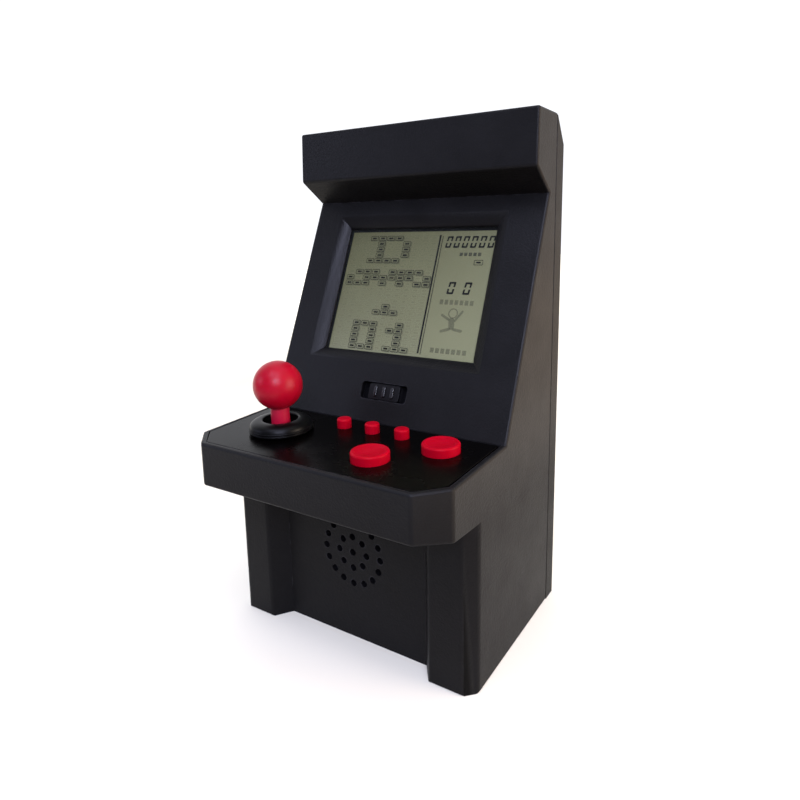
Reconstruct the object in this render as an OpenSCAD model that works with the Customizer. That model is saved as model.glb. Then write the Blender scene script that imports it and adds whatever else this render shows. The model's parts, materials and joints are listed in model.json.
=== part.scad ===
// Bartop arcade cabinet with a liquid crystal game screen, a ball-top joystick and five push buttons.
// Frame: X to the player's right, Y to the back, Z up, origin at the bottom centre. Millimetres.

/* [Cabinet] */
// Overall width
cab_w = 83; // [80:0.5:88]
// Overall depth, front of the deck to the back cover
cab_d = 75.4; // [74:0.2:78]
// Overall height
cab_h = 150; // [147:1:156]
// Wall thickness of both shells
wall = 2; // [1.8:0.1:2.1]
// Depth of the back cover, from the seam to the back face
cover_d = 6.3; // [5.8:0.1:6.8]
// Height that the slanted top of the back cover loses
cover_slant = 8.8; // [6:0.2:9]

/* [Marquee] */
// Distance from the back face to the marquee's top front edge
marquee_top_d = 20.2; // [19:0.2:22]
// How far the marquee's face leans back from bottom to top
marquee_lean = 0.6; // [0:0.1:1]
// Forward run of the sloping eave under the marquee
eave_run = 9.8; // [9:0.2:11]
// Rise of the eave over that run
eave_rise = 6.6; // [6:0.2:8]

/* [Screen panel] */
// Lean of the screen panel from upright, in degrees
screen_tilt = 23.2; // [22.6:0.2:23.6]
// Length of the screen panel from the deck to the eave
panel_len = 71.4; // [71:0.2:72]
// Outer width of the screen recess
recess_w = 61.6; // [60:0.2:62]
// Outer height of the screen recess
recess_h = 48.2; // [47:0.2:48.6]
// Height of the recess centre up the panel
recess_v = 41.95; // [41.5:0.05:42.5]
// Width of the sloping border of the recess
border_w = 3.7; // [3.4:0.1:3.8]
// Depth of the sloping border
border_depth = 3; // [2.8:0.1:3.1]

/* [Deck] */
// Height of the deck's front top edge
deck_front_z = 60.85; // [60.4:0.05:61.2]
// Height of the deck's front face
nose_h = 12.5; // [12.3:0.1:13]
// Horizontal run of the deck to the foot of the screen panel
deck_run = 36.25; // [36:0.05:36.5]
// Upward slope of the deck towards the back, in degrees
deck_tilt = 2.15; // [1.9:0.05:2.4]
// Size of the bevelled front corners of the deck
nose_chamfer = 7.1; // [6.5:0.1:7.4]
// Inset of the control plate from the deck's outline
plate_inset = 1.65; // [1.5:0.05:1.8]

/* [Lower front] */
// Distance of the foot pillars' faces behind the deck's front
foot_set_back = 17.1; // [16.5:0.1:17.5]
// Depth of the recess between the pillars
foot_recess = 5.5; // [5:0.1:6]
// Half distance between the pillars at the front
foot_inner_x = 28.25; // [27.5:0.25:29]
// Half width of the recess panel
recess_panel_x = 24.4; // [24:0.1:25]
// Size of the bevelled outer corners of the pillars
foot_chamfer = 3.5; // [3:0.1:4]
// Height of the speaker's centre
speaker_z = 26.95; // [26:0.05:28]
// Diameter of the speaker holes
grille_hole_d = 2.1; // [1.8:0.1:2.4]
// Radius of the inner ring of speaker holes
grille_ring_r = 4.8; // [4.6:0.1:5]

/* [Joystick] */
// Joystick position across the deck
stick_x = -21.2; // [-21.6:0.1:-20.8]
// Joystick position back from the deck's front edge
stick_v = 18.25; // [18:0.05:18.5]
// Diameter of the ball
ball_d = 14.1; // [13:0.1:15]
// Height of the ball's centre over the deck
ball_h = 13.65; // [13:0.05:14.5]
// Diameter of the shaft
shaft_d = 5.4; // [5:0.1:5.6]
// Outer diameter of the collar
collar_d = 18.5; // [18:0.1:19]
// Height of the collar
collar_h = 3.8; // [3.5:0.1:3.9]
// Diameter of the collar's opening
collar_bore = 10; // [9.8:0.1:10.4]

/* [Buttons] */
// Diameter of the two large buttons
big_d = 10.2; // [9.6:0.1:10.6]
// Height of the large buttons over the deck
big_h = 2.4; // [2:0.1:3]
// Travel of the large buttons
big_travel = 1.2; // [0.8:0.1:1.4]
// Diameter of the three small buttons
small_d = 4.2; // [3.8:0.1:4.4]
// Height of the small buttons over the deck
small_h = 2.65; // [2:0.05:3]
// Travel of the small buttons
small_travel = 0.9; // [0.6:0.1:1.2]
// Position of the large front button across the deck
a_x = 14.55; // [14.2:0.05:14.8]
// Position of the large front button back from the deck's front edge
a_v = 12.6; // [12.2:0.1:13]
// Position of the large rear button across the deck
b_x = 27.9; // [27.6:0.1:28.1]
// Position of the large rear button back from the deck's front edge
b_v = 25.4; // [25.1:0.1:25.6]
// Position of the middle small button across the deck
small_x = 3.45; // [3.2:0.05:3.6]
// Distance between the small buttons
small_pitch = 10; // [9.8:0.1:10.1]
// Position of the small buttons back from the deck's front edge
small_v = 29.1; // [28.9:0.1:29.2]

/* [Slide switch] */
// Width of the switch slot
slot_w = 16.3; // [16:0.1:17]
// Height of the switch slot
slot_h = 5.3; // [5:0.1:5.6]
// Height of the slot's centre up the screen panel
slot_v = 9.2; // [8.8:0.1:9.6]
// Width of the switch knob
knob_w = 10.8; // [10:0.1:11]
// Travel of the knob to each side
knob_travel = 2.2; // [1.8:0.1:2.3]

/* [Batteries] */
// Diameter of one cell
cell_d = 14.2; // [14:0.1:14.4]
// Length of one cell with its button
cell_len = 50.2; // [49.8:0.1:50.4]
// Distance between neighbouring cells
cell_pitch = 15.2; // [15:0.1:15.2]
// Thickness of the battery door
door_t = 2.2; // [2:0.1:2.3]

/* [Hidden] */

$fn = 64;
eps = 0.05;
past = 1;                    // how far a cutter runs past the face that it cuts
fine_gap = 0.05;             // gap between parts that bear on each other
fit_gap = 0.2;               // gap round a part that slides or drops in

// Cabinet outline
front_y = -cab_d / 2;
back_y = cab_d / 2;
seam_y = back_y - cover_d;
seam_gap = 0.25;
lip_len = 1.4;               // tongue of the front shell inside the cover
half_wall = wall / 2;
marquee_top_y = back_y - marquee_top_d;
marquee_low_y = marquee_top_y - marquee_lean;
deck_rear = [front_y + deck_run, deck_front_z + deck_run * tan(deck_tilt)];
panel_up = [sin(screen_tilt), cos(screen_tilt)];
panel_top = deck_rear + panel_len * panel_up;
eave_tip = [marquee_low_y, panel_top.y + eave_rise];
foot_y = front_y + foot_set_back;
recess_y = foot_y + foot_recess;
nose_low_z = deck_front_z - nose_h;
nose_fall = 1.8;             // the nose's underside falls by this much towards the back
lower_top_z = 55;            // the lower block runs up into the nose

side_outline = [
    [back_y, nose_low_z - nose_fall],
    [back_y, cab_h - cover_slant],
    [seam_y, cab_h],
    [marquee_top_y, cab_h],
    eave_tip,
    panel_top,
    deck_rear,
    [front_y, deck_front_z],
    [front_y, nose_low_z],
    [recess_y, nose_low_z - nose_fall]
];
upper_plan = [
    [cab_w / 2, back_y],
    [-cab_w / 2, back_y],
    [-cab_w / 2, front_y + nose_chamfer],
    [-cab_w / 2 + nose_chamfer, front_y],
    [cab_w / 2 - nose_chamfer, front_y],
    [cab_w / 2, front_y + nose_chamfer]
];
lower_plan = [
    [cab_w / 2, back_y],
    [-cab_w / 2, back_y],
    [-cab_w / 2, foot_y + foot_chamfer],
    [-cab_w / 2 + foot_chamfer, foot_y],
    [-foot_inner_x, foot_y],
    [-recess_panel_x, recess_y],
    [recess_panel_x, recess_y],
    [foot_inner_x, foot_y],
    [cab_w / 2 - foot_chamfer, foot_y],
    [cab_w / 2, foot_y + foot_chamfer]
];

// Screen panel, measured in from its outer face
funnel_wall = 1.8;
lip_depth = border_depth + 0.4;
window_t = 0.8;
glass_t = 2;
window_size = [57.6, 44.1];
glass_size = [58, 44.6];
lcd_frame_size = [62.4, 49];
board_depth = 8;
board_t = 1.2;
board_back = board_depth + board_t;
main_board_low_v = 4;
main_board_top_v = 66.5;
main_board_w = 76;
main_boss_x = 35.2;
main_boss_v = [10, 62];
main_boss_r = 2.3;
pilot_r = 0.9;               // pilot holes of the small screws
small_shank_r = 0.88;
small_hole_r = 1.2;
switch_case_size = [12.7, 5.6, 3.55];
knob_flange = [slot_w + 2 * knob_travel + 0.5, 7.4, 0.8];
knob_flange_depth = wall + 0.15;

// Deck, measured from its front top edge
deck_len = deck_run / cos(deck_tilt);
plate_t = 2;
plate_gap = 0.2;             // between the control plate and the rim
plate_rear = deck_len - 0.65;
plate_opening_rear = deck_len - 0.1;
ledge_t = 1.2;
ledge_inset = 3.8;
control_board_depth = 10;
mat_t = 0.6;
flange_t = 1;
flange_reach = 1;            // how far a button's flange stands out all round
big_plunger_r = 2.2;
small_plunger_r = 1.3;
flange_drop = plate_t + fit_gap;
dome_slack = 0.9;            // height that a pressed dome of the mat keeps
pivot_drop = 2.2;            // joystick pivot below the deck's face
spigot_r = 7.4;
spigot_bore_r = 6.4;
spigot_drop = 4.9;
trunnion_r = 0.8;
trunnion_hole_r = 0.85;
washer_t = 0.5;
actuator_drop = 7.5;
actuator_t = 1;
stem_r = 2;
tip_r = 1.2;
post_r = 2.5;
deck_posts = [[-33, 8], [33, 8], [0, 6.5], [0, 17]];
deck_pad_r = 2.7;
board_bosses = [[-34, 29], [-8, 16], [35.2, 17], [20.5, 31]];
board_boss_r = 2;
deck_screw_head = [2.2, 1.3];
deck_shank_r = 1.1;

// Speaker, measured behind the recess panel
speaker_ear_x = 18.5;        // screws of the speaker clamp

// Battery compartment and door
pocket_wall = 1.5;
pocket_x = 23.2;
pocket_y = 20.2;
pocket_z = [6.8, 62.4];
door_gap = 0.3;
door_x = 25;
door_z = [5.2, 68.6];
door_in_y = back_y - door_t;
door_axis_y = back_y - door_t / 2;
door_axis_z = door_z[0] + door_t / 2;
ledge_y = door_in_y - 0.1;
frame_margin = 2;
frame_y = ledge_y - 2;
door_pin_r = 0.6;
door_screw_z = 65.8;
contact_t = 0.4;
tab_w = 3;
tab_y = 22;

// Back screws, along Y
back_screw_x = 35.6;
back_screws_at = [[9, 12], [78, 18], [136, 20]];   // height, and where its boss starts
back_boss_r = 3.4;
back_head_drop = 3.3;
back_head = [2.4, 1.8];
back_shank_r = 1.13;
back_pilot_r = 1.15;
back_screw_len = 11;

// Wire routes, points chosen by hand
wire_r = 0.6;
speaker_route = [[-2.5, -8.8, 39.8], [-3, -7, 41.6], [-8, -2, 45], [-16, 3, 50], [-23, 8, 55],
    [-26, 11.5, 58.5], [-26, 12.6, 60.8], [-26, 11.6, 62.2], [-26, 9.15, 63.15]];
battery_route = [[15.2, 22, 66.1], [15.2, 21.8, 68], [14.6, 20, 70], [13.4, 17.4, 70.6],
    [12.2, 15.4, 69.4], [12, 14, 68.7], [12, 11.85, 69.6]];
ribbon_path = [[-5.4, 52.45], [-4, 52.5], [0, 52.8], [4, 54.4], [7, 57.8], [8.5, 61.2],
    [9.25, 62.85], [9.95, 64.5]];
ribbon_t = 0.6;
ribbon_w = 16;

// ---- Plane geometry ----

function unit(v) = v / norm(v);

function left_of(v) = [-v.y, v.x];

// The point a distance d inside the corner b of a counterclockwise outline
function inner_corner(a, b, c, d) =
    let (n1 = left_of(unit(b - a)), n2 = left_of(unit(c - b)))
    b + d * (n1 + n2) / (1 + n1 * n2);

function inset(outline, d) =
    let (n = len(outline))
    [for (i = [0 : n - 1])
        inner_corner(outline[(i + n - 1) % n], outline[i], outline[(i + 1) % n], d)];

// Direction of a path at point i
function heading(path, i) =
    unit(path[min(i + 1, len(path) - 1)] - path[max(i - 1, 0)]);

// Outline of a strip of thickness t along a plane path
function strip(path, t) =
    let (last = len(path) - 1)
    concat(
        [for (i = [0 : last]) path[i] - t / 2 * left_of(heading(path, i))],
        [for (i = [last : -1 : 0]) path[i] + t / 2 * left_of(heading(path, i))]
    );

// Outline of the deck, with its rear edge at the given length
function deck_outline(rear) = [
    [cab_w / 2, rear],
    [-cab_w / 2, rear],
    [-cab_w / 2, nose_chamfer],
    [-cab_w / 2 + nose_chamfer, 0],
    [cab_w / 2 - nose_chamfer, 0],
    [cab_w / 2, nose_chamfer]
];

// Outline of the control plate with its rear edge at the given length, grown by g at the rim
function plate_outline(rear, g) =
    inset(deck_outline(rear + plate_inset - g), plate_inset - g);

// Height, from the deck's face, of the nose's inner floor at a distance v from the front
function floor_w(v) = -(nose_h - wall) - v * (nose_fall / (recess_y - front_y) + tan(deck_tilt));

// ---- Shared shapes ----

// A side outline (Y, Z) extruded across X
module across(outline, width) {
    rotate([90, 0, 90])
        linear_extrude(width, center = true)
            polygon(outline);
}

module block(size, at) {
    translate(at - [size.x / 2, size.y / 2, 0])
        cube(size);
}

module rounded_slot(w, h, r) {
    square([w - 2 * r, h], center = true);
    square([w, h - 2 * r], center = true);
    for (sx = [-1, 1], sy = [-1, 1])
        translate([sx * (w / 2 - r), sy * (h / 2 - r)])
            circle(r);
}

// A round-headed screw: the head stands on z = 0, the shank hangs below
module screw(head_r, head_h, shank_r, shank_len) {
    difference() {
        union() {
            cylinder(r = head_r, h = head_h);
            translate([0, 0, -shank_len])
                cylinder(r = shank_r, h = shank_len + eps);
        }
        for (turn = [0, 90])
            rotate(turn)
                translate([-head_r * 0.6, -head_r * 0.14, head_h * 0.45])
                    cube([head_r * 1.2, head_r * 0.28, head_h]);
    }
}

// A round wire along a route of points; side is a direction that the route never runs along
module wire(route, r, side) {
    sides = 8;
    last = len(route) - 1;
    points = [
        for (i = [0 : last])
            let (t = heading(route, i), a = unit(cross(t, side)), b = cross(t, a))
            for (k = [0 : sides - 1])
                route[i] + r * (a * cos(k * 360 / sides) + b * sin(k * 360 / sides))
    ];
    walls = [
        for (i = [0 : last - 1], k = [0 : sides - 1])
            let (j = (k + 1) % sides)
            [i * sides + k, i * sides + j, (i + 1) * sides + j, (i + 1) * sides + k]
    ];
    start = [[for (k = [sides - 1 : -1 : 0]) k]];
    finish = [[for (k = [0 : sides - 1]) last * sides + k]];
    polyhedron(points, concat(walls, start, finish));
}

// A compression coil from z = 0 to z = h
module coil(r, wire_d, turns, h) {
    steps = 12 * turns;
    route = [
        for (i = [0 : steps])
            [r * cos(i * 30), r * sin(i * 30), wire_d / 2 + (h - wire_d) * i / steps]
    ];
    wire(route, wire_d / 2, [0, 0, 1]);
}

// The cabinet's body drawn in by d on every side
module cabinet_block(d) {
    intersection() {
        across(inset(side_outline, d), cab_w - 2 * d);
        linear_extrude(cab_h)
            polygon(inset(upper_plan, d));
    }
    translate([0, 0, d])
        linear_extrude(lower_top_z - d)
            polygon(inset(lower_plan, d));
}

module half_space(y_low, y_high) {
    translate([-cab_w, y_low, -past])
        cube([2 * cab_w, y_high - y_low, cab_h + 2 * past]);
}

// ---- Places ----

module on_panel() {
    translate([0, deck_rear.x, deck_rear.y])
        rotate([90 - screen_tilt, 0, 0])
            children();
}

module on_deck() {
    translate([0, front_y, deck_front_z])
        rotate([deck_tilt, 0, 0])
            children();
}

module at_stick() {
    on_deck()
        translate([stick_x, stick_v, 0])
            children();
}

// Behind the speaker grille, Z pointing into the cabinet
module at_speaker() {
    translate([0, recess_y + wall, speaker_z])
        rotate([-90, 0, 0])
            children();
}

// A point on the back, Z pointing out
module on_back(x, y, z) {
    translate([x, y, z])
        rotate([-90, 0, 0])
            children();
}

// ---- Shells ----

// A frustum sunk into the panel, grown by g on every side
module recess_cutter(g, depth) {
    top = [recess_w + 2 * g, recess_h + 2 * g];
    low = top - 2 * border_w * [1, 1] * depth / border_depth;
    translate([0, recess_v, 0])
        intersection() {
            rotate([90, 0, 0])
                linear_extrude(top.y + 2, center = true)
                    polygon([[-top.x / 2, 0], [-low.x / 2, -depth], [low.x / 2, -depth], [top.x / 2, 0]]);
            rotate([90, 0, 90])
                linear_extrude(top.x + 2, center = true)
                    polygon([[-top.y / 2, 0], [-low.y / 2, -depth], [low.y / 2, -depth], [top.y / 2, 0]]);
        }
}

module deck_ledge() {
    bar = [cab_w - 2 * wall + 0.4, 2.5, 2.4];
    on_deck()
        translate([0, 0, -plate_t - fine_gap - ledge_t])
            linear_extrude(ledge_t)
                difference() {
                    polygon(inset(deck_outline(deck_len + 4), wall - 0.1));
                    polygon(inset(deck_outline(deck_len + 1.6), ledge_inset));
                }
    // Rear bar, let into the side walls and the foot of the screen panel
    on_deck()
        block(bar, [0, deck_len + 0.8, -plate_t - fine_gap - ledge_t]);
}

module grille_holes() {
    at_speaker()
        translate([0, 0, -wall - past]) {
            cylinder(d = grille_hole_d, h = wall + 2 * past, $fn = 32);
            for (ring = [1, 2], i = [0 : 8 * ring - 1])
                rotate(i * 45 / ring)
                    translate([0, ring * grille_ring_r, 0])
                        cylinder(d = grille_hole_d, h = wall + 2 * past, $fn = 32);
        }
}

module back_boss_places() {
    for (sx = [-1, 1], row = back_screws_at)
        on_back(sx * back_screw_x, 0, row[0])
            children();
}

module front_shell() {
    color("#2b2b30")
    difference() {
        union() {
            difference() {
                intersection() {
                    cabinet_block(0);
                    half_space(front_y - past, seam_y);
                }
                cabinet_block(wall);
            }
            intersection() {
                difference() {
                    cabinet_block(half_wall + 0.1);
                    cabinet_block(wall);
                }
                half_space(seam_y - eps, seam_y + lip_len);
            }
            deck_ledge();
            on_panel()
                difference() {
                    recess_cutter(funnel_wall, lip_depth);
                    block([cab_w, 2 * recess_h, past], [0, recess_v, -half_wall]);
                }
            on_panel()
                for (sx = [-1, 1], v = main_boss_v)
                    translate([sx * main_boss_x, v, -board_depth])
                        cylinder(r = main_boss_r, h = board_depth - wall + 0.2);
            for (sx = [-1, 1], row = back_screws_at) {
                on_back(sx * back_screw_x, row[1], row[0])
                    cylinder(r = back_boss_r, h = seam_y - row[1]);
                translate([sx * (cab_w / 2 - wall - 1.5) - 2, row[1], row[0] - 1])
                    cube([4, seam_y - row[1], 2]);
            }
            on_deck()
                for (p = deck_posts)
                    translate([p.x, p.y, floor_w(p.y) - 1])
                        cylinder(r = deck_pad_r, h = 1.6);
            at_speaker()
                for (sx = [-1, 1])
                    translate([sx * speaker_ear_x, 0, -eps])
                        cylinder(r = 2.4, h = 1.3 + eps);
        }
        // Screen recess and its straight throat
        on_panel()
            translate([0, 0, eps])
                recess_cutter(0, border_depth + eps);
        on_panel()
            block([recess_w - 2 * border_w, recess_h - 2 * border_w, lip_depth + past],
                [0, recess_v, -lip_depth - 0.5]);
        // Slot of the slide switch
        on_panel()
            translate([0, slot_v, -wall - past])
                linear_extrude(wall + 2 * past)
                    rounded_slot(slot_w, slot_h, 1);
        // Opening for the control plate
        on_deck()
            translate([0, 0, -plate_t - fine_gap])
                linear_extrude(plate_t + past)
                    polygon(plate_outline(plate_opening_rear, plate_gap));
        grille_holes();
        at_speaker()
            for (sx = [-1, 1])
                translate([sx * speaker_ear_x, 0, -1.3])
                    cylinder(r = pilot_r, h = 3);
        on_panel()
            for (sx = [-1, 1], v = main_boss_v)
                translate([sx * main_boss_x, v, -board_depth - past])
                    cylinder(r = pilot_r, h = board_depth - wall);
        for (sx = [-1, 1], row = back_screws_at)
            on_back(sx * back_screw_x, row[1] + 1.5, row[0])
                cylinder(r = back_pilot_r, h = seam_y - row[1]);
        // Sunk holes for the deck screws, in the underside of the nose
        on_deck()
            for (p = deck_posts)
                translate([p.x, p.y, floor_w(p.y)]) {
                    translate([0, 0, -wall])
                        cylinder(r = 1.3, h = wall + 2);
                    translate([0, 0, -wall - 3])
                        cylinder(r = deck_screw_head[0] + 0.2, h = 3 + deck_screw_head[1] + 0.2);
                }
    }
}

module back_cover() {
    color("#29292e")
    difference() {
        union() {
            difference() {
                intersection() {
                    cabinet_block(0);
                    half_space(seam_y + seam_gap, back_y + past);
                }
                cabinet_block(wall);
                intersection() {
                    cabinet_block(half_wall);
                    half_space(seam_y, seam_y + lip_len + seam_gap);
                }
            }
            // Battery compartment and the frame that the door lies in
            translate([-pocket_x - pocket_wall, pocket_y - pocket_wall, pocket_z[0] - pocket_wall])
                cube([2 * (pocket_x + pocket_wall), frame_y - pocket_y + 2,
                    pocket_z[1] - pocket_z[0] + 2 * pocket_wall]);
            translate([-door_x - door_gap - frame_margin, frame_y, door_z[0] - door_gap - frame_margin])
                cube([2 * (door_x + door_gap + frame_margin), back_y - frame_y - eps,
                    door_z[1] - door_z[0] + 2 * (door_gap + frame_margin)]);
            on_back(0, frame_y - 3.4, door_screw_z)
                cylinder(r = 3.4, h = 3.6);
            for (sx = [-1, 1], row = back_screws_at)
                on_back(sx * back_screw_x, seam_y + seam_gap, row[0])
                    cylinder(r = back_boss_r, h = cover_d - seam_gap - 0.5);
        }
        translate([-door_x - door_gap, ledge_y, door_z[0] - door_gap])
            cube([2 * (door_x + door_gap), door_t + past, door_z[1] - door_z[0] + 2 * door_gap]);
        difference() {
            translate([-pocket_x, pocket_y, pocket_z[0]])
                cube([2 * pocket_x, ledge_y - pocket_y + eps, pocket_z[1] - pocket_z[0]]);
            for (sx = [-1, 1])
                block([0.8, 3 + eps, pocket_z[1]], [sx * cell_pitch / 2, pocket_y + 1.5 - eps / 2, 0]);
        }
        // Slots for the two solder tabs
        for (sx = [-1, 1])
            block([tab_w + 0.4, contact_t + 0.4, 4], [sx * cell_pitch, tab_y, pocket_z[1] - 1]);
        // Door pin sockets and the door screw's hole
        translate([0, door_axis_y, door_axis_z])
            rotate([0, 90, 0])
                cylinder(r = door_pin_r + fine_gap, h = 2 * (door_x + door_gap) + 2.4, center = true);
        on_back(0, frame_y - 2.6, door_screw_z)
            cylinder(r = 1.6, h = 6);
        for (sx = [-1, 1], row = back_screws_at)
            on_back(sx * back_screw_x, seam_y - past, row[0]) {
                cylinder(r = back_pilot_r + 0.25, h = cover_d + 2 * past);
                translate([0, 0, past + cover_d - back_head_drop])
                    cylinder(r = back_head[0] + 0.2, h = back_head_drop + past);
            }
    }
}

module control_deck() {
    color("#1b1b1e")
    on_deck()
        difference() {
            union() {
                translate([0, 0, -plate_t])
                    linear_extrude(plate_t)
                        polygon(plate_outline(plate_rear, 0));
                for (p = deck_posts)
                    translate([p.x, p.y, floor_w(p.y) + 0.7])
                        cylinder(r = post_r, h = -floor_w(p.y) - 0.8);
                for (p = board_bosses)
                    translate([p.x, p.y, -control_board_depth])
                        cylinder(r = board_boss_r, h = control_board_depth - 0.1);
            }
            translate([stick_x, stick_v, -plate_t - past])
                cylinder(r = spigot_r + 0.1, h = plate_t + 2 * past);
            for (p = [[a_x, a_v], [b_x, b_v]])
                translate([p.x, p.y, -plate_t - past])
                    cylinder(d = big_d + 2 * fit_gap, h = plate_t + 2 * past);
            for (i = [-1 : 1])
                translate([small_x + i * small_pitch, small_v, -plate_t - past])
                    cylinder(d = small_d + 2 * fit_gap, h = plate_t + 2 * past);
            for (p = deck_posts)
                translate([p.x, p.y, floor_w(p.y)])
                    cylinder(r = deck_shank_r + 0.02, h = 8);
            for (p = board_bosses)
                translate([p.x, p.y, -control_board_depth - past])
                    cylinder(r = pilot_r, h = 6);
        }
}

// ---- Joystick ----

module joystick_collar() {
    steps = 8;
    outer_r = collar_d / 2;
    bore_r = collar_bore / 2;
    crown_r = bore_r + 0.7;
    shoulder = 1.6;
    dome = [
        for (i = [0 : steps])
            let (a = 90 * i / steps)
            [crown_r + (outer_r - 0.1 - crown_r) * cos(a), shoulder + (collar_h - shoulder) * sin(a)]
    ];
    profile = concat(
        [[spigot_r, fine_gap], [outer_r - 0.7, fine_gap], [outer_r, 0.7], [outer_r, 1.1],
            [outer_r - 0.3, 1.25], [outer_r - 0.3, 1.45]],
        dome,
        [[bore_r + 0.2, collar_h - 0.12], [bore_r, collar_h - 0.5], [bore_r, collar_h - 1],
            [spigot_bore_r, shoulder], [spigot_bore_r, -spigot_drop], [spigot_r, -spigot_drop]]
    );
    color("#232327")
    at_stick()
        difference() {
            rotate_extrude($fn = 96)
                polygon(profile);
            translate([0, 0, -pivot_drop])
                rotate([0, 90, 0])
                    cylinder(r = trunnion_hole_r, h = 2 * spigot_r + past, center = true);
        }
}

module joystick_ball() {
    color("#c8102e")
    at_stick()
        difference() {
            translate([0, 0, ball_h])
                sphere(d = ball_d, $fn = 96);
            translate([0, 0, ball_h - ball_d])
                cylinder(d = shaft_d, h = ball_d);
        }
}

module joystick_shaft() {
    color("#c8102e")
    at_stick()
        difference() {
            union() {
                translate([0, 0, -pivot_drop - 1.1])
                    cylinder(d = shaft_d, h = ball_h + pivot_drop + 1.05);
                translate([0, 0, -actuator_drop])
                    cylinder(r = stem_r, h = actuator_drop - pivot_drop);
                translate([0, 0, -actuator_drop - actuator_t - 0.3])
                    cylinder(r = tip_r, h = actuator_t + 1);
            }
            translate([0, 0, -pivot_drop])
                rotate([90, 0, 0])
                    cylinder(r = trunnion_r, h = 2 * shaft_d, center = true);
        }
}

// Ring on two pins along X; the joystick's cross pin turns in it along Y
module joystick_gimbal() {
    ring_r = 6;
    ring_bore_r = 4.2;
    ring_h = 2.2;
    color("#d8d8d2")
    at_stick()
        translate([0, 0, -pivot_drop])
            difference() {
                union() {
                    cylinder(r = ring_r, h = ring_h, center = true);
                    rotate([0, 90, 0])
                        cylinder(r = trunnion_r, h = 2 * (spigot_r - 0.1), center = true);
                }
                cylinder(r = ring_bore_r, h = ring_h + 2 * past, center = true);
                rotate([90, 0, 0])
                    cylinder(r = trunnion_hole_r, h = 2 * ring_r + 2 * past, center = true);
            }
}

module joystick_cross_pin() {
    color("#b9bcc0")
    at_stick()
        translate([0, 0, -pivot_drop])
            rotate([90, 0, 0])
                cylinder(r = trunnion_r - 0.01, h = 11.4, center = true);
}

// Disc under the spring, with a bump over each contact
module joystick_actuator() {
    disc_r = 4.2;
    bump_r = 0.7;
    color("#d8d8d2")
    at_stick()
        translate([0, 0, -actuator_drop - actuator_t])
            difference() {
                union() {
                    cylinder(r = disc_r, h = actuator_t - fine_gap);
                    for (turn = [0 : 90 : 270])
                        rotate(turn)
                            translate([disc_r - 1, 0, -0.4])
                                cylinder(r = bump_r, h = 0.8, $fn = 32);
                }
                translate([0, 0, -past])
                    cylinder(r = tip_r + 0.01, h = actuator_t + 2 * past);
            }
}

module joystick_spring() {
    color("#b9bcc0")
    at_stick()
        translate([0, 0, -actuator_drop + fine_gap])
            coil(3.7, 0.5, 3, actuator_drop - spigot_drop - washer_t - 3 * fine_gap);
}

module spring_washer() {
    color("#d8d8d2")
    at_stick()
        translate([0, 0, -spigot_drop - fine_gap - washer_t])
            difference() {
                cylinder(r = 6.9, h = washer_t);
                translate([0, 0, -past])
                    cylinder(r = 3.3, h = washer_t + 2 * past);
            }
}

// Flat snap domes on the control board, one under each side of the actuator
module joystick_contacts() {
    color("#c9b26a")
    at_stick()
        for (turn = [0 : 90 : 270])
            rotate(turn)
                translate([4.6, 0, -control_board_depth + 0.01])
                    cylinder(r1 = 1.9, r2 = 1.3, h = 0.22, $fn = 32);
}

// ---- Buttons ----

module push_button(x, v, d, h, travel, plunger_r) {
    edge = 0.6;
    plunger_bottom = mat_t + travel + dome_slack - control_board_depth;
    color("#c8102e")
    on_deck()
        translate([x, v, 0]) {
            translate([0, 0, -flange_drop - eps])
                cylinder(d = d, h = h - edge + flange_drop + eps);
            rotate_extrude()
                polygon(concat(
                    [[0, h - edge - eps], [d / 2, h - edge - eps]],
                    [for (a = [0 : 15 : 90]) [d / 2 - edge + edge * cos(a), h - edge + edge * sin(a)]],
                    [[0, h]]
                ));
            translate([0, 0, -flange_drop - flange_t])
                cylinder(r = d / 2 + flange_reach, h = flange_t);
            translate([0, 0, plunger_bottom])
                cylinder(r = plunger_r, h = -plunger_bottom - flange_drop - flange_t / 2);
        }
}

module button_a() push_button(a_x, a_v, big_d, big_h, big_travel, big_plunger_r);
module button_b() push_button(b_x, b_v, big_d, big_h, big_travel, big_plunger_r);
module small_button(place) {
    push_button(small_x + place * small_pitch, small_v, small_d, small_h, small_travel,
        small_plunger_r);
}

module small_button_left() small_button(-1);
module small_button_middle() small_button(0);
module small_button_right() small_button(1);

// Rubber mat with one dome under each button
module keypad_mat() {
    big_pad_r = 5;
    small_pad_r = 2.7;
    strap_w = 2.2;
    big_at = [[a_x, a_v], [b_x, b_v]];
    small_at = [for (i = [-1 : 1]) [small_x + i * small_pitch, small_v]];
    color("#8f9094")
    on_deck()
        translate([0, 0, -control_board_depth + 0.01]) {
            linear_extrude(mat_t) {
                for (p = big_at)
                    translate(p)
                        circle(big_pad_r);
                for (p = small_at)
                    translate(p)
                        circle(small_pad_r);
                for (pair = [[big_at[0], big_at[1]], [small_at[0], small_at[2]], [small_at[2], big_at[1]]])
                    let (run = pair[1] - pair[0])
                    translate((pair[0] + pair[1]) / 2)
                        rotate(atan2(run.y, run.x))
                            square([norm(run), strap_w], center = true);
            }
            for (p = big_at)
                translate([p.x, p.y, mat_t - fine_gap])
                    cylinder(r1 = big_pad_r - 1, r2 = 2.6, h = big_travel + dome_slack);
            for (p = small_at)
                translate([p.x, p.y, mat_t - fine_gap])
                    cylinder(r1 = small_pad_r - 0.2, r2 = 1.6, h = small_travel + dome_slack);
        }
}

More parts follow.
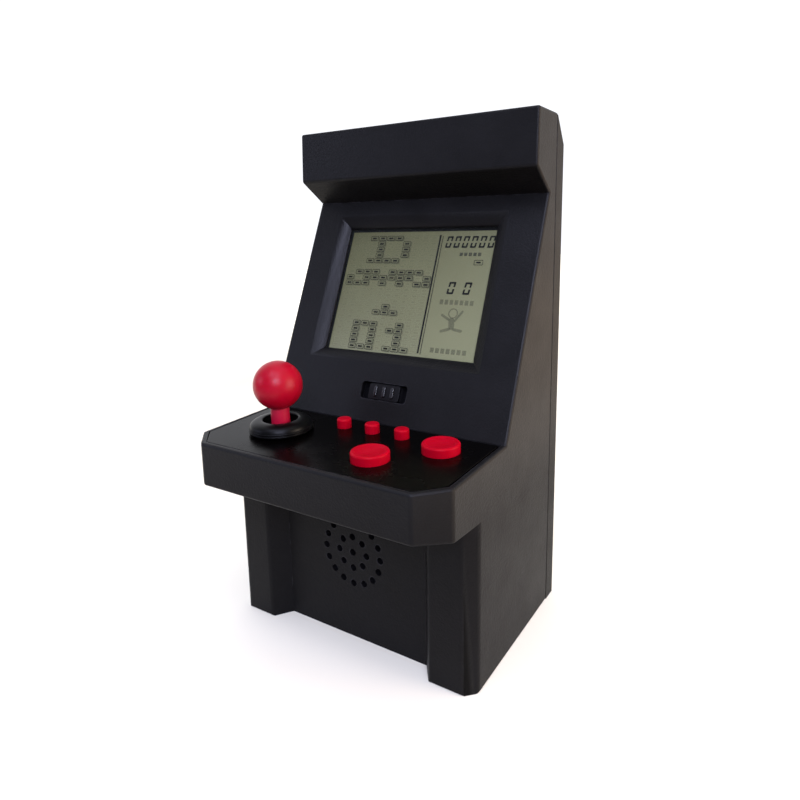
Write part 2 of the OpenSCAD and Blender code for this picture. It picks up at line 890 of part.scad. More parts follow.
module control_board() {
    edge = 37;
    rear_v = 33;
    front_v = 7;
    corner = 3;
    color("#2f6b45")
    on_deck()
        translate([0, 0, -control_board_depth - board_t])
            linear_extrude(board_t)
                difference() {
                    polygon([[edge, rear_v], [-edge, rear_v], [-edge, front_v + corner],
                        [-edge + corner, front_v], [edge - corner, front_v], [edge, front_v + corner]]);
                    for (p = deck_posts)
                        translate(p)
                            circle(post_r + 0.5);
                    for (p = board_bosses)
                        translate(p)
                            circle(small_hole_r);
                }
}

module ribbon_cable() {
    color("#b8b8b4")
    across(strip(ribbon_path, ribbon_t), ribbon_w);
}

// ---- Screen ----

module screen_window() {
    color([0.8, 0.85, 0.85, 0.3])
    on_panel()
        block([window_size.x, window_size.y, window_t - 0.02], [0, recess_v, -lip_depth - window_t]);
}

module lcd_glass() {
    color("#8d9284")
    on_panel()
        block([glass_size.x, glass_size.y, glass_t],
            [0, recess_v, -lip_depth - window_t - glass_t - fine_gap]);
}

module lcd_frame() {
    height = board_depth - lip_depth - 0.15;
    color("#3a3a3e")
    on_panel()
        difference() {
            block([lcd_frame_size.x, lcd_frame_size.y, height], [0, recess_v, -board_depth + fine_gap]);
            block([glass_size.x + 0.4, glass_size.y + 0.4, height + 2 * past],
                [0, recess_v, -board_depth - past]);
        }
}

module zebra_strips() {
    height = board_depth - lip_depth - window_t - glass_t - 3 * fine_gap;
    color("#d6679a")
    on_panel()
        for (side = [-1, 1])
            block([52, 2.4, height], [0, recess_v + side * 20.4, -board_depth + fine_gap]);
}

module main_board() {
    color("#2f6b45")
    on_panel()
        difference() {
            block([main_board_w, main_board_top_v - main_board_low_v, board_t],
                [0, (main_board_top_v + main_board_low_v) / 2, -board_back]);
            for (sx = [-1, 1], v = main_boss_v)
                translate([sx * main_boss_x, v, -board_back - past])
                    cylinder(r = small_hole_r, h = board_t + 2 * past);
        }
}

// Sealed game chip, a low drop of black resin
module chip_blob() {
    drop_r = 5.5;
    drop_h = 1.4;
    color("#141416")
    on_panel()
        translate([4, 40, -board_back - 0.01])
            rotate([180, 0, 0])
                rotate_extrude()
                    polygon(concat([[0, 0]], [for (a = [0 : 10 : 90]) [drop_r * cos(a), drop_h * sin(a)]]));
}

// Two capacitors, a resonator and four resistors on the back of the main board
module board_parts() {
    color("#3b5ba5")
    on_panel()
        translate([0, 0, -board_back - 0.02])
            rotate([180, 0, 0]) {
                for (x = [-20, -13])
                    translate([x, -24, 0])
                        cylinder(r = 2.5, h = 5);
                block([7, 3, 2.4], [18, -30, 0]);
                for (i = [0 : 3])
                    block([1.2, 2.4, 0.6], [-24 + 3 * i, -48, 0]);
            }
}

// ---- Slide switch ----

module switch_knob() {
    top = 0.3;
    socket = [1.9, 1.7];
    color("#1d1d20")
    on_panel()
        translate([0, slot_v, 0])
            difference() {
                union() {
                    translate([0, 0, -knob_flange_depth - eps])
                        linear_extrude(knob_flange_depth - top + eps)
                            rounded_slot(knob_w, slot_h - 2 * fit_gap, 0.6);
                    block(knob_flange, [0, 0, -knob_flange_depth - knob_flange.z]);
                    block([5, 3.6, 1.2], [0, 0, -knob_flange_depth - knob_flange.z - 1.1]);
                    for (i = [-1 : 1])
                        block([1, slot_h - 4 * fit_gap, 0.5], [i * 3.2, 0, -top - 0.05]);
                }
                block([socket.x, socket.y, 3.2], [0, 0, -knob_flange_depth - knob_flange.z - 2]);
            }
}

module switch_lever() {
    color("#e4e4de")
    on_panel()
        translate([0, slot_v, 0]) {
            block([5, 3, 1.2], [0, 0, -7.2]);
            block([1.7, 1.5, 4.1], [0, 0, -6.1]);
        }
}

module switch_case() {
    color("#b9bcc0")
    on_panel()
        translate([0, slot_v, -board_depth + 0.02])
            difference() {
                block(switch_case_size, [0, 0, 0]);
                block(switch_case_size - [1.6, 1.6, 1.1], [0, 0, 0.55]);
                block([6.7, 2, 2], [0, 0, 2]);
            }
}

// ---- Speaker ----

module speaker_frame() {
    color("#9a9ca0")
    at_speaker()
        rotate_extrude()
            polygon([[12.2, 0.05], [14, 0.05], [14, 1.3], [12.9, 1.3], [9.4, 4.7], [2, 4.7], [2, 3.9],
                [9.1, 3.9], [12.2, 0.9]]);
}

module speaker_cone() {
    color("#3a3733")
    at_speaker()
        rotate_extrude()
            polygon([[0, 1.5], [3.2, 1.9], [5, 2.7], [12, 0.35], [12, 0.65], [5, 3.05], [3.1, 2.25],
                [0, 1.85]]);
}

module speaker_magnet() {
    magnet_r = 8;
    magnet_h = 3.2;
    color("#6d6f73")
    at_speaker()
        translate([0, 0, 4.72])
            difference() {
                cylinder(r = magnet_r, h = magnet_h);
                translate([0, 0, magnet_h - 1])
                    cylinder(r = 2, h = 2);
            }
}

module speaker_clamp() {
    ring_r = 15.4;
    opening_r = 13.1;
    bar = [45, 7];
    color("#3a3a3e")
    at_speaker()
        translate([0, 0, 1.34])
            linear_extrude(1.2)
                difference() {
                    union() {
                        circle(ring_r);
                        square(bar, center = true);
                    }
                    circle(opening_r);
                    for (sx = [-1, 1])
                        translate([sx * speaker_ear_x, 0])
                            circle(small_hole_r);
                }
}

module speaker_screws() {
    color("#b9bcc0")
    at_speaker()
        for (sx = [-1, 1])
            translate([sx * speaker_ear_x, 0, 2.56])
                screw(1.9, 1.1, small_shank_r, 3.6);
}

module speaker_wires() {
    color("#b03030")
    for (shift = [0, 5])
        wire([for (p = speaker_route) p + [shift, 0, 0]], wire_r, [1, 0, 0]);
}

// ---- Batteries ----

module cell_places() {
    middle_z = (pocket_z[0] + pocket_z[1]) / 2;
    for (i = [-1 : 1])
        translate([i * cell_pitch, pocket_y + cell_d / 2 + 0.3, middle_z])
            rotate([i == 0 ? 180 : 0, 0, 0])
                children();
}

module battery_cells() {
    nub_h = 1;
    top = (pocket_z[1] - pocket_z[0]) / 2 - contact_t - 3 * fine_gap;
    color("#4f6f4a")
    cell_places() {
        translate([0, 0, top - cell_len])
            cylinder(d = cell_d, h = cell_len - nub_h);
        translate([0, 0, top - nub_h - eps])
            cylinder(r = 2.7, h = nub_h + eps);
    }
}

module battery_springs() {
    half = (pocket_z[1] - pocket_z[0]) / 2;
    color("#c4c7ca")
    cell_places()
        translate([0, 0, -half + contact_t + 2 * fine_gap])
            coil(3.4, 0.7, 4, 2 * half - cell_len - 2 * contact_t - 6 * fine_gap);
}

// A plate at each end of each cell, the outer two with a solder tab through the compartment's roof
module battery_plates() {
    half = (pocket_z[1] - pocket_z[0]) / 2;
    color("#c4c7ca")
    cell_places()
        for (side = [-1, 1])
            block([9, 9, contact_t], [0, 0, side * (half - contact_t / 2 - fine_gap) - contact_t / 2]);
    color("#c4c7ca")
    for (sx = [-1, 1])
        block([tab_w, contact_t, 3.6], [sx * cell_pitch, tab_y, pocket_z[1] - contact_t]);
    color("#c4c7ca")
    for (sx = [-1, 1])
        block([tab_w, 2.2, contact_t], [sx * cell_pitch, tab_y + 0.9, pocket_z[1] - contact_t - fine_gap]);
}

module battery_wires() {
    color("#b03030")
    for (sx = [-1, 1])
        wire([for (p = battery_route) [sx * p.x, p.y, p.z]], wire_r, [1, 0, 0]);
}

module battery_door() {
    grooves = 5;
    groove = [18, past, 0.9];
    groove_low_z = 52;
    color("#29292e")
    difference() {
        union() {
            translate([-door_x, door_in_y, door_axis_z])
                cube([2 * door_x, door_t, door_z[1] - door_axis_z]);
            translate([0, door_axis_y, door_axis_z])
                rotate([0, 90, 0]) {
                    cylinder(d = door_t, h = 2 * door_x, center = true);
                    cylinder(r = door_pin_r, h = 2 * (door_x + door_gap) + 2, center = true);
                }
        }
        on_back(0, door_in_y - past, door_screw_z)
            cylinder(r = 1.3, h = door_t + 2 * past);
        on_back(0, back_y - 1.3, door_screw_z)
            cylinder(r = 2.5, h = 2);
        // Grip grooves
        for (i = [0 : grooves - 1])
            translate([-groove.x / 2, back_y - 0.5, groove_low_z + 2 * i])
                cube(groove);
    }
}

module door_screw() {
    color("#b9bcc0")
    on_back(0, back_y - 1.28, door_screw_z)
        screw(2.2, 1.1, 1.2, 4.2);
}

// ---- Fasteners ----

module back_screws() {
    color("#b9bcc0")
    for (sx = [-1, 1], row = back_screws_at)
        on_back(sx * back_screw_x, back_y - back_head_drop + 0.02, row[0])
            screw(back_head[0], back_head[1], back_shank_r, back_screw_len);
}

module deck_screws() {
    color("#b9bcc0")
    on_deck()
        for (p = deck_posts)
            translate([p.x, p.y, floor_w(p.y) - wall + deck_screw_head[1] + 0.18])
                rotate([180, 0, 0])
                    screw(deck_screw_head[0], deck_screw_head[1], deck_shank_r, 7.5);
}

module control_board_screws() {
    color("#b9bcc0")
    on_deck()
        for (p = board_bosses)
            translate([p.x, p.y, -control_board_depth - board_t - 0.02])
                rotate([180, 0, 0])
                    screw(1.9, 0.9, small_shank_r, 5);
}

module main_board_screws() {
    color("#b9bcc0")
    on_panel()
        for (sx = [-1, 1], v = main_boss_v)
            translate([sx * main_boss_x, v, -board_back - 0.02])
                rotate([180, 0, 0])
                    screw(1.9, 1.1, small_shank_r, 5);
}

front_shell();
back_cover();
control_deck();
joystick_collar();
joystick_ball();
joystick_shaft();
joystick_gimbal();
joystick_cross_pin();
joystick_actuator();
joystick_spring();
spring_washer();
joystick_contacts();
button_a();
button_b();
small_button_left();
small_button_middle();
small_button_right();
keypad_mat();
control_board();
ribbon_cable();
screen_window();
lcd_glass();
lcd_frame();
zebra_strips();
main_board();
chip_blob();
board_parts();
switch_knob();
switch_lever();
switch_case();
speaker_frame();
speaker_cone();
speaker_magnet();
speaker_clamp();
speaker_wires();
battery_cells();
battery_springs();
battery_plates();
battery_wires();
battery_door();
door_screw();
back_screws();
deck_screws();
control_board_screws();
main_board_screws();
speaker_screws();
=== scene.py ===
# Looks of the bartop arcade cabinet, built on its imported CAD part.
# Row frame: metres, X to the player's right, Y to the back, Z up, origin at the bottom centre.
import json
import math

import bmesh
import bpy
from mathutils import Matrix, Vector
from mathutils.bvhtree import BVHTree

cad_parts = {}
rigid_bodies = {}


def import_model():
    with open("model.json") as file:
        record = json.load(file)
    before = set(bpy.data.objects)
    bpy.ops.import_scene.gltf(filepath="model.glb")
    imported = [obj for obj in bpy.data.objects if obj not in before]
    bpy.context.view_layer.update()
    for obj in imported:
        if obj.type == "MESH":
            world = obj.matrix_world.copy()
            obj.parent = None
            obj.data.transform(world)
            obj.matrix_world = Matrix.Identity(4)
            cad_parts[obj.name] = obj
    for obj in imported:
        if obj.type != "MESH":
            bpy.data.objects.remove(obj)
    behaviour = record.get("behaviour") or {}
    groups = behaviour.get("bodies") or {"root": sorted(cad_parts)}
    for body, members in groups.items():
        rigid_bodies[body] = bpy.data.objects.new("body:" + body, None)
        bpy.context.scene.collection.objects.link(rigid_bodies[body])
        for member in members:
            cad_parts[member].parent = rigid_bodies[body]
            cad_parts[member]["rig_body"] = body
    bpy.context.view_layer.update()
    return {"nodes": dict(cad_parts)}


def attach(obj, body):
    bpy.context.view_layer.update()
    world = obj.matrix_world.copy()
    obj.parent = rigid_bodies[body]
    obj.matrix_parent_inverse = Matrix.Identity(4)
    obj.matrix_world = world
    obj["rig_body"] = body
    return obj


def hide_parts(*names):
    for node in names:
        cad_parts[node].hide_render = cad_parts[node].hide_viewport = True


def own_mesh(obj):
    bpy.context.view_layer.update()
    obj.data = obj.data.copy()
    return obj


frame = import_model()
NODES = frame["nodes"]
MM = 0.001

# ---- Places, in millimetres as the CAD has them ----

FRONT_Y = -37.7  # front of the nose
SEAM_Y = 31.4  # where the two shells meet
DECK_FRONT_Z = 60.85
DECK_TILT = math.radians(2.15)
DECK_RUN = 36.25  # from the nose to the foot of the screen panel
PANEL_TILT = math.radians(23.2)
RECESS = (30.8, 24.1)  # half width and half height of the screen's recess
RECESS_V = 41.95  # its middle, up the panel
RECESS_DEPTH = 3.4
SLOT_V = 9.2  # middle of the switch's slot, up the panel
KNOB_TOP = -0.3
GLASS_FRONT = -4.25
JOYSTICK_AT = (-21.2, 18.25)
MAT_TOP = -9.39  # top of the keypad mat's sheet, under the deck's face
# Name, place on the deck, diameter, height, radius and level of the foot, and body of each button
BUTTONS = (
    ("large_button_front", 14.55, 12.6, 10.2, 2.4, 2.2, -7.3, "button_a"),
    ("large_button_rear", 27.9, 25.4, 10.2, 2.4, 2.2, -7.3, "button_b"),
    ("small_button_cap_1", -6.55, 29.1, 4.2, 2.65, 1.3, -7.6, "small_button_left"),
    ("small_button_cap_2", 3.45, 29.1, 4.2, 2.65, 1.3, -7.6, "small_button_middle"),
    ("small_button_cap_3", 13.45, 29.1, 4.2, 2.65, 1.3, -7.6, "small_button_right"),
)

# ---- How the looks differ from the CAD, in millimetres ----

RIM_LEFT, THROAT_LEFT, RECESS_UP = 0.7, 1.05, 0.55  # where the photo shows the recess
PLATE_IN_X, PLATE_IN_Y = 0.3, 0.5  # so that the gap round the control plate reads
OUTER_ROUND = (0.75, 4)  # width of a rounded edge, and how many facets round it
RECESS_ROUND = (0.16, 2)
SEAM_ROUND = (0.2, 1)
COVER_ROUND = (0.6, 3)

ON_DECK = Matrix.Translation((0, FRONT_Y * MM, DECK_FRONT_Z * MM)) @ Matrix.Rotation(
    DECK_TILT, 4, "X"
)
ON_PANEL = Matrix.Translation(
    (0, (FRONT_Y + DECK_RUN) * MM, (DECK_FRONT_Z + DECK_RUN * math.tan(DECK_TILT)) * MM)
) @ Matrix.Rotation(math.pi / 2 - PANEL_TILT, 4, "X")


# ---- Materials ----


SPAN_INPUTS = ("From Min", "From Max", "To Min", "To Max")


class Paint:
    """A material's node tree, with short calls for what the finishes share."""

    def __init__(self, name, roughness=0.5, metallic=0.0, specular=0.5):
        self.material = bpy.data.materials.new(name)
        self.material.use_nodes = True
        self.tree = self.material.node_tree
        self.surface = self.tree.nodes["Principled BSDF"]
        self.set("Roughness", roughness)
        self.set("Metallic", metallic)
        self.set("Specular IOR Level", specular)
        self.where = self.node("ShaderNodeTexCoord").outputs["Object"]

    def node(self, kind, **settings):
        made = self.tree.nodes.new(kind)
        for key, value in settings.items():
            setattr(made, key, value)
        return made

    def put(self, value, socket):
        if isinstance(value, bpy.types.NodeSocket):
            self.tree.links.new(value, socket)
        else:
            socket.default_value = value

    def set(self, name, value):
        self.put(value, self.surface.inputs[name])

    def math(self, operation, a, b=0.0, clamp=False):
        n = self.node("ShaderNodeMath", operation=operation, use_clamp=clamp)
        self.put(a, n.inputs[0])
        self.put(b, n.inputs[1])
        return n.outputs[0]

    def axes(self, vector=None):
        """X, Y and Z of a vector, the place in the row frame if none is given."""
        n = self.node("ShaderNodeSeparateXYZ")
        self.put(vector or self.where, n.inputs[0])
        return n.outputs

    def noise(self, scale, detail=3.0, roughness=0.55, stretch=None, distortion=0.0):
        n = self.node("ShaderNodeTexNoise")
        place = self.where
        if stretch:
            m = self.node("ShaderNodeMapping")
            self.put(place, m.inputs["Vector"])
            self.put(stretch, m.inputs["Scale"])
            place = m.outputs[0]
        self.put(place, n.inputs["Vector"])
        self.put(scale, n.inputs["Scale"])
        self.put(detail, n.inputs["Detail"])
        self.put(roughness, n.inputs["Roughness"])
        self.put(distortion, n.inputs["Distortion"])
        return n.outputs["Fac"]

    def cells(self, scale):
        n = self.node("ShaderNodeTexVoronoi")
        self.put(self.where, n.inputs["Vector"])
        self.put(scale, n.inputs["Scale"])
        return n.outputs["Distance"]

    def span(self, value, low, high, to_low=0.0, to_high=1.0):
        n = self.node("ShaderNodeMapRange")
        self.put(value, n.inputs["Value"])
        for name, number in zip(SPAN_INPUTS, (low, high, to_low, to_high)):
            self.put(number, n.inputs[name])
        return n.outputs[0]

    def mix(self, share, a, b):
        n = self.node("ShaderNodeMix", data_type="RGBA")
        self.put(share, n.inputs[0])
        for value, socket in ((a, n.inputs[6]), (b, n.inputs[7])):
            self.put(value if isinstance(value, bpy.types.NodeSocket) else (*value, 1.0), socket)
        return n.outputs[2]

    def glow(self, weight):
        """Light scattered under the surface of red plastic."""
        self.set("Subsurface Weight", weight)
        self.set("Subsurface Radius", GLOW_REACH)
        self.set("Subsurface Scale", 1.0)

    def edges(self, radius):
        """(rounded normal, how close to an edge from 0 to 1)"""
        bevel = self.node("ShaderNodeBevel", samples=6)
        self.put(radius, bevel.inputs["Radius"])
        flat = self.node("ShaderNodeNewGeometry").outputs["Normal"]
        dot = self.node("ShaderNodeVectorMath", operation="DOT_PRODUCT")
        self.put(bevel.outputs[0], dot.inputs[0])
        self.put(flat, dot.inputs[1])
        return bevel.outputs[0], self.span(dot.outputs["Value"], 0.995, 0.8)

    def sunk(self, depth):
        """1 where the surface lies deeper than depth under the screen panel, 0 in front of it."""
        out = ON_PANEL.to_3x3() @ Vector((0, 0, 1))
        dot = self.node("ShaderNodeVectorMath", operation="DOT_PRODUCT")
        self.put(self.where, dot.inputs[0])
        self.put(out, dot.inputs[1])
        plane = ON_PANEL.translation.dot(out)
        return self.span(dot.outputs["Value"], plane - depth * 0.5, plane - depth)

    def in_panel(self):
        """(1 on the border of the screen's recess, 1 inside the switch's slot), 0 elsewhere."""
        place = self.axes()
        low = (ON_PANEL @ Vector((0, (RECESS_V - RECESS[1]) * MM, 0))).z
        across = self.math("ABSOLUTE", place["X"])
        above = self.span(place["Z"], low - 0.0018, low - 0.0014)
        border = self.math("MULTIPLY", self.sunk(0.0003), self.span(across, 0.0320, 0.0318))
        slot = self.math("MULTIPLY", self.sunk(0.0006), self.span(across, 0.0095, 0.0090))
        slot = self.math("MULTIPLY", slot, self.span(place["Z"], 0.0640, 0.0645))
        return self.math("MULTIPLY", border, above), self.math("MULTIPLY", slot, self.span(above, 1.0, 0.0))

    def shade(self):
        """Painted shade: the gloss is full on the body and cut towards the foot and on faces turned down."""
        facing = self.axes(self.node("ShaderNodeNewGeometry").outputs["Normal"])
        foot = self.span(self.axes()["Z"], 0.060, 0.044, 1.0, 0.5)
        under = self.span(facing["Z"], -0.3, -0.8, 1.0, 0.4)
        return self.math("MULTIPLY", foot, under)

    def bump(self, height, distance, normal=None):
        n = self.node("ShaderNodeBump")
        self.put(height, n.inputs["Height"])
        self.put(distance, n.inputs["Distance"])
        self.put(1.0, n.inputs["Strength"])
        if normal is not None:
            self.put(normal, n.inputs["Normal"])
        return n.outputs[0]


POLISH = 0.05  # how much a moulded face's roughness varies
GLOW_REACH = (0.004, 0.0006, 0.0008)  # how far red plastic scatters light


def plastic(
    name,
    dark,
    light,
    roughness,
    specular=0.5,
    grain=2200.0,
    depth=0.00003,
    mottle=70.0,
    radius=0.0004,
    rub=None,
    rub_share=0.35,
    low_shade=False,
    crisp=False,
    inlet=None,
    glow=0.0,
):
    """Moulded plastic: a mottled tone, a fine eroded grain, soft edges and a light rub along them.

    grain, mottle and radius are scales, and depth is the grain's; worn adds painted shade, less gloss
    low down and underneath; crisp keeps the mesh's own edges; inlet is the (roughness, specular) of the
    smoother border inside the screen's recess, and it also brings painted shade inside the switch's
    slot, whose gloss is cut to a twentieth; glow is how much light scatters inside."""
    p = Paint(name, roughness, specular=specular)
    cloud = p.noise(mottle, 4.0, 0.6)
    fine = p.noise(grain, 2.0, 0.7)
    pits = p.cells(grain * 0.6)
    tone = p.mix(p.span(cloud, 0.3, 0.7), dark, light)
    normal, edge = p.edges(radius)
    if rub is not None:
        rubbed = p.math("MULTIPLY", edge, p.span(p.noise(380.0, 3.0), 0.42, 0.62), clamp=True)
        tone = p.mix(p.math("MULTIPLY", rubbed, rub_share), tone, rub)
    p.set("Base Color", tone)
    uneven = p.span(cloud, 0.25, 0.75, roughness - POLISH, roughness + POLISH)
    # Painted shade: with worn set, the gloss falls off towards the foot and on faces turned down.
    gloss = p.math("MULTIPLY", p.shade(), specular) if low_shade else specular
    if inlet:
        border, slot = p.in_panel()
        uneven = p.math("ADD", uneven, p.math("MULTIPLY", border, inlet[0] - roughness))
        gloss = p.math("ADD", gloss, p.math("MULTIPLY", border, inlet[1] - specular))
        # Painted shade inside the switch's slot: there the gloss is cut to a twentieth.
        gloss = p.math("MULTIPLY", gloss, p.span(slot, 0.0, 1.0, 1.0, 0.05))
    p.set("Specular IOR Level", gloss)
    p.set("Roughness", uneven)
    height = p.math("ADD", fine, p.math("MULTIPLY", pits, 0.35))
    p.set("Normal", p.bump(height, depth, None if crisp else normal))
    if glow:
        p.glow(glow)
    return p.material


def metal(name, dark, light, roughness, brush=(1, 1, 1)):
    """Plated or brushed metal; brush draws the fine lines out."""
    p = Paint(name, roughness, metallic=1.0)
    lines = p.noise(900.0, 3.0, 0.6, stretch=brush)
    p.set("Base Color", p.mix(p.span(lines, 0.3, 0.7), dark, light))
    p.set("Roughness", p.span(lines, 0.3, 0.7, roughness - 0.07, roughness + 0.1))
    normal, _ = p.edges(0.00012)
    p.set("Normal", p.bump(lines, 0.00001, normal))
    return p.material


def circuit(dark, light, track):
    """Lacquered board with a pattern of copper tracks under the lacquer."""
    p = Paint("CircuitBoard", 0.32)
    brick = p.node("ShaderNodeTexBrick", offset=0.37)
    p.put(p.where, brick.inputs["Vector"])
    for key, value in (("Scale", 260.0), ("Mortar Size", 0.045), ("Brick Width", 1.7), ("Row Height", 0.31)):
        p.put(value, brick.inputs[key])
    lines = p.span(brick.outputs["Fac"], 0.4, 0.6)
    base = p.mix(p.span(p.noise(90.0), 0.3, 0.7), dark, light)
    p.set("Base Color", p.mix(p.math("MULTIPLY", lines, 0.7), base, track))
    p.set("Normal", p.bump(lines, 0.00003))
    p.set("Roughness", p.span(p.noise(300.0), 0.3, 0.7, 0.26, 0.4))
    return p.material


def lcd_film():
    """Reflective backing of the display: silvery olive, with painted shade and reflection, darker at the top left
    and greyer and lighter towards the bottom right.
    """
    p = Paint("LcdFilm", 0.3, specular=0.35)
    place = p.axes()
    along = p.span(place["X"], -0.028, 0.028)
    down = p.span(place["Z"], 0.118, 0.078)
    # Painted shade and reflection: a slant from dark at the top left to light at the bottom right, with the
    # film's own uneven tone added to it.
    painted_slant = p.math("ADD", p.math("MULTIPLY", along, 0.4), p.math("MULTIPLY", down, 0.6))
    shade_and_mottle = p.math("ADD", painted_slant, p.span(p.noise(28.0, 2.0), 0.3, 0.7, -0.06, 0.06), clamp=True)
    base = p.mix(shade_and_mottle, (0.080, 0.078, 0.021), (0.300, 0.303, 0.154))
    fleck = p.span(p.noise(5200.0, 2.0, 0.8), 0.35, 0.65)
    p.set("Base Color", p.mix(p.math("MULTIPLY", fleck, 0.16), base, (0.45, 0.46, 0.30)))
    p.set("Normal", p.bump(fleck, 0.000004))
    return p.material


def lcd_ink(name, tone, share, fade=0.25):
    """A darkened segment; share is how much of it shows, and it is paler on the left and in places."""
    p = Paint(name, 0.4, specular=0.1)
    weak = p.span(p.noise(130.0, 2.0), 0.35, 0.65, 1.0 - fade, 1.0)
    weak = p.math("MULTIPLY", weak, p.span(p.axes()["X"], -0.026, 0.004, 0.6, 1.0))
    p.set("Base Color", p.mix(p.span(p.noise(900.0), 0.3, 0.7), tone, tuple(c * 1.4 for c in tone)))
    p.set("Alpha", p.math("MULTIPLY", weak, share))
    return p.material


def clear_pane():
    """Clear plastic over the display, a little smeared."""
    p = Paint("ClearPane", 0.3, specular=0.12)
    smear = p.noise(45.0, 4.0, 0.6, distortion=0.6)
    p.set("Base Color", p.mix(p.span(smear, 0.3, 0.7), (0.05, 0.055, 0.05), (0.08, 0.085, 0.08)))
    p.set("Roughness", p.span(smear, 0.35, 0.7, 0.24, 0.38))
    p.set("Alpha", 0.08)
    p.set("Normal", p.bump(p.noise(240.0, 2.0), 0.000004))
    return p.material


def paper_cone():
    """The speaker's fibrous paper."""
    p = Paint("PaperCone", 0.85, specular=0.2)
    fibres = p.noise(1800.0, 4.0, 0.7, stretch=(1, 0.3, 1))
    p.set("Base Color", p.mix(fibres, (0.012, 0.011, 0.01), (0.04, 0.037, 0.033)))
    p.set("Normal", p.bump(fibres, 0.00006))
    return p.material


BODY_RUB = (0.075, 0.075, 0.085)
FINISH = {
    "shell": plastic("ShellPlastic", (0.0042, 0.0040, 0.0044), (0.0058, 0.0055, 0.0061), 0.45, 0.18,
                     depth=0.00008, radius=0.0006, rub=BODY_RUB, low_shade=True, crisp=True, inlet=(0.36, 0.17)),
    "cover": plastic("CoverPlastic", (0.0042, 0.0040, 0.0042), (0.0058, 0.0055, 0.0058), 0.47, 0.17,
                     depth=0.00007, radius=0.0006, rub=BODY_RUB, low_shade=True, crisp=True),
    "deck": plastic("DeckPlastic", (0.0006, 0.0004, 0.0004), (0.0009, 0.0007, 0.0007), 0.26, 0.075,
                    depth=0.000008, grain=3000.0, radius=0.0002),
    "collar": plastic("CollarPlastic", (0.0012, 0.0012, 0.0013), (0.0020, 0.0020, 0.0022), 0.38, 0.13,
                      depth=0.00001, radius=0.0002, rub=(0.04, 0.04, 0.045)),
    "red": plastic("RedPlastic", (0.37, 0.0004, 0.009), (0.42, 0.0008, 0.012), 0.38, 0.06,
                   depth=0.000006, mottle=120.0, radius=0.0002, rub=(0.78, 0.04, 0.08), rub_share=0.2, glow=0.2),
    "shaft": plastic("ShaftPlastic", (0.40, 0.0035, 0.028), (0.45, 0.0050, 0.034), 0.42, 0.35,
                     depth=0.00001, radius=0.0002),
    "ball": plastic("BallPlastic", (0.335, 0.0006, 0.012), (0.370, 0.0010, 0.015), 0.36, 0.2,
                    depth=0.000005, mottle=110.0, radius=0.0001, glow=0.35),
    "white": plastic("WhitePlastic", (0.55, 0.55, 0.50), (0.66, 0.66, 0.61), 0.4, depth=0.00001),
    "inner": plastic("InnerPlastic", (0.030, 0.030, 0.033), (0.048, 0.048, 0.052), 0.5, depth=0.00002),
    # Its inlet matches its own finish, so it only brings the painted shade inside the switch's slot.
    "switch": plastic("SwitchPlastic", (0.0030, 0.0029, 0.0034), (0.0044, 0.0043, 0.0050), 0.38, 0.2,
                      depth=0.000012, radius=0.0002, inlet=(0.38, 0.2)),
    "ribs": plastic("RibPlastic", (0.0030, 0.0029, 0.0034), (0.0044, 0.0043, 0.0050), 0.28, 0.5,
                    depth=0.000006, radius=0.0001),
    "resin": plastic("ChipResin", (0.008, 0.008, 0.009), (0.016, 0.016, 0.017), 0.22, depth=0.00001),
    "parts": plastic("PartPlastic", (0.035, 0.085, 0.28), (0.055, 0.12, 0.36), 0.35, depth=0.00001),
    "rubber": plastic("KeypadRubber", (0.24, 0.245, 0.26), (0.31, 0.315, 0.33), 0.72, 0.3, depth=0.00003),
    "zebra": plastic("ZebraRubber", (0.55, 0.10, 0.26), (0.70, 0.16, 0.34), 0.6, 0.3, depth=0.00002),
    "wire": plastic("WireInsulation", (0.40, 0.020, 0.020), (0.55, 0.035, 0.030), 0.4, depth=0.000006),
    "ribbon": plastic("RibbonFilm", (0.42, 0.42, 0.40), (0.56, 0.56, 0.53), 0.35, depth=0.00001,
                      mottle=400.0),
    "cell": plastic("CellJacket", (0.050, 0.120, 0.055), (0.080, 0.180, 0.080), 0.3, depth=0.000008),
    "steel": metal("ScrewSteel", (0.36, 0.37, 0.39), (0.55, 0.56, 0.58), 0.33),
    "spring": metal("SpringSteel", (0.42, 0.43, 0.45), (0.62, 0.63, 0.65), 0.25, brush=(1, 1, 6)),
    "contact": metal("ContactMetal", (0.60, 0.52, 0.32), (0.76, 0.68, 0.45), 0.28),
    "magnet": metal("MagnetSteel", (0.20, 0.20, 0.22), (0.32, 0.32, 0.34), 0.42, brush=(1, 5, 1)),
    "board": circuit((0.012, 0.075, 0.030), (0.020, 0.110, 0.045), (0.055, 0.22, 0.085)),
    "film": lcd_film(),
    "pane": clear_pane(),
    "cone": paper_cone(),
    # Painted shade along the display's left and top edges
    "ink_edge_shade": plastic("EdgeShadePaint", (0.0010, 0.0010, 0.0010), (0.0016, 0.0016, 0.0016), 0.6, 0.05,
                        depth=0.000004),
    "ink_dark": lcd_ink("InkDark", (0.004, 0.004, 0.003), 0.98, 0.05),
    "ink_cell": lcd_ink("InkCell", (0.006, 0.006, 0.005), 0.97, 0.25),
    "ink_rim": lcd_ink("InkRim", (0.008, 0.008, 0.006), 0.92, 0.3),
    "ink_pale": lcd_ink("InkPale", (0.05, 0.052, 0.035), 0.45, 0.3),
    "ink_faint": lcd_ink("InkFaint", (0.07, 0.072, 0.045), 0.2, 0.3),
    "ink_ghost": lcd_ink("InkGhost", (0.09, 0.092, 0.065), 0.04, 0.4),
    "ink_shade": lcd_ink("InkShade", (0.05, 0.052, 0.030), 0.1, 0.3),
    "ink_line_shade": lcd_ink("InkLineShade", (0.05, 0.045, 0.025), 0.4, 0.1),
}

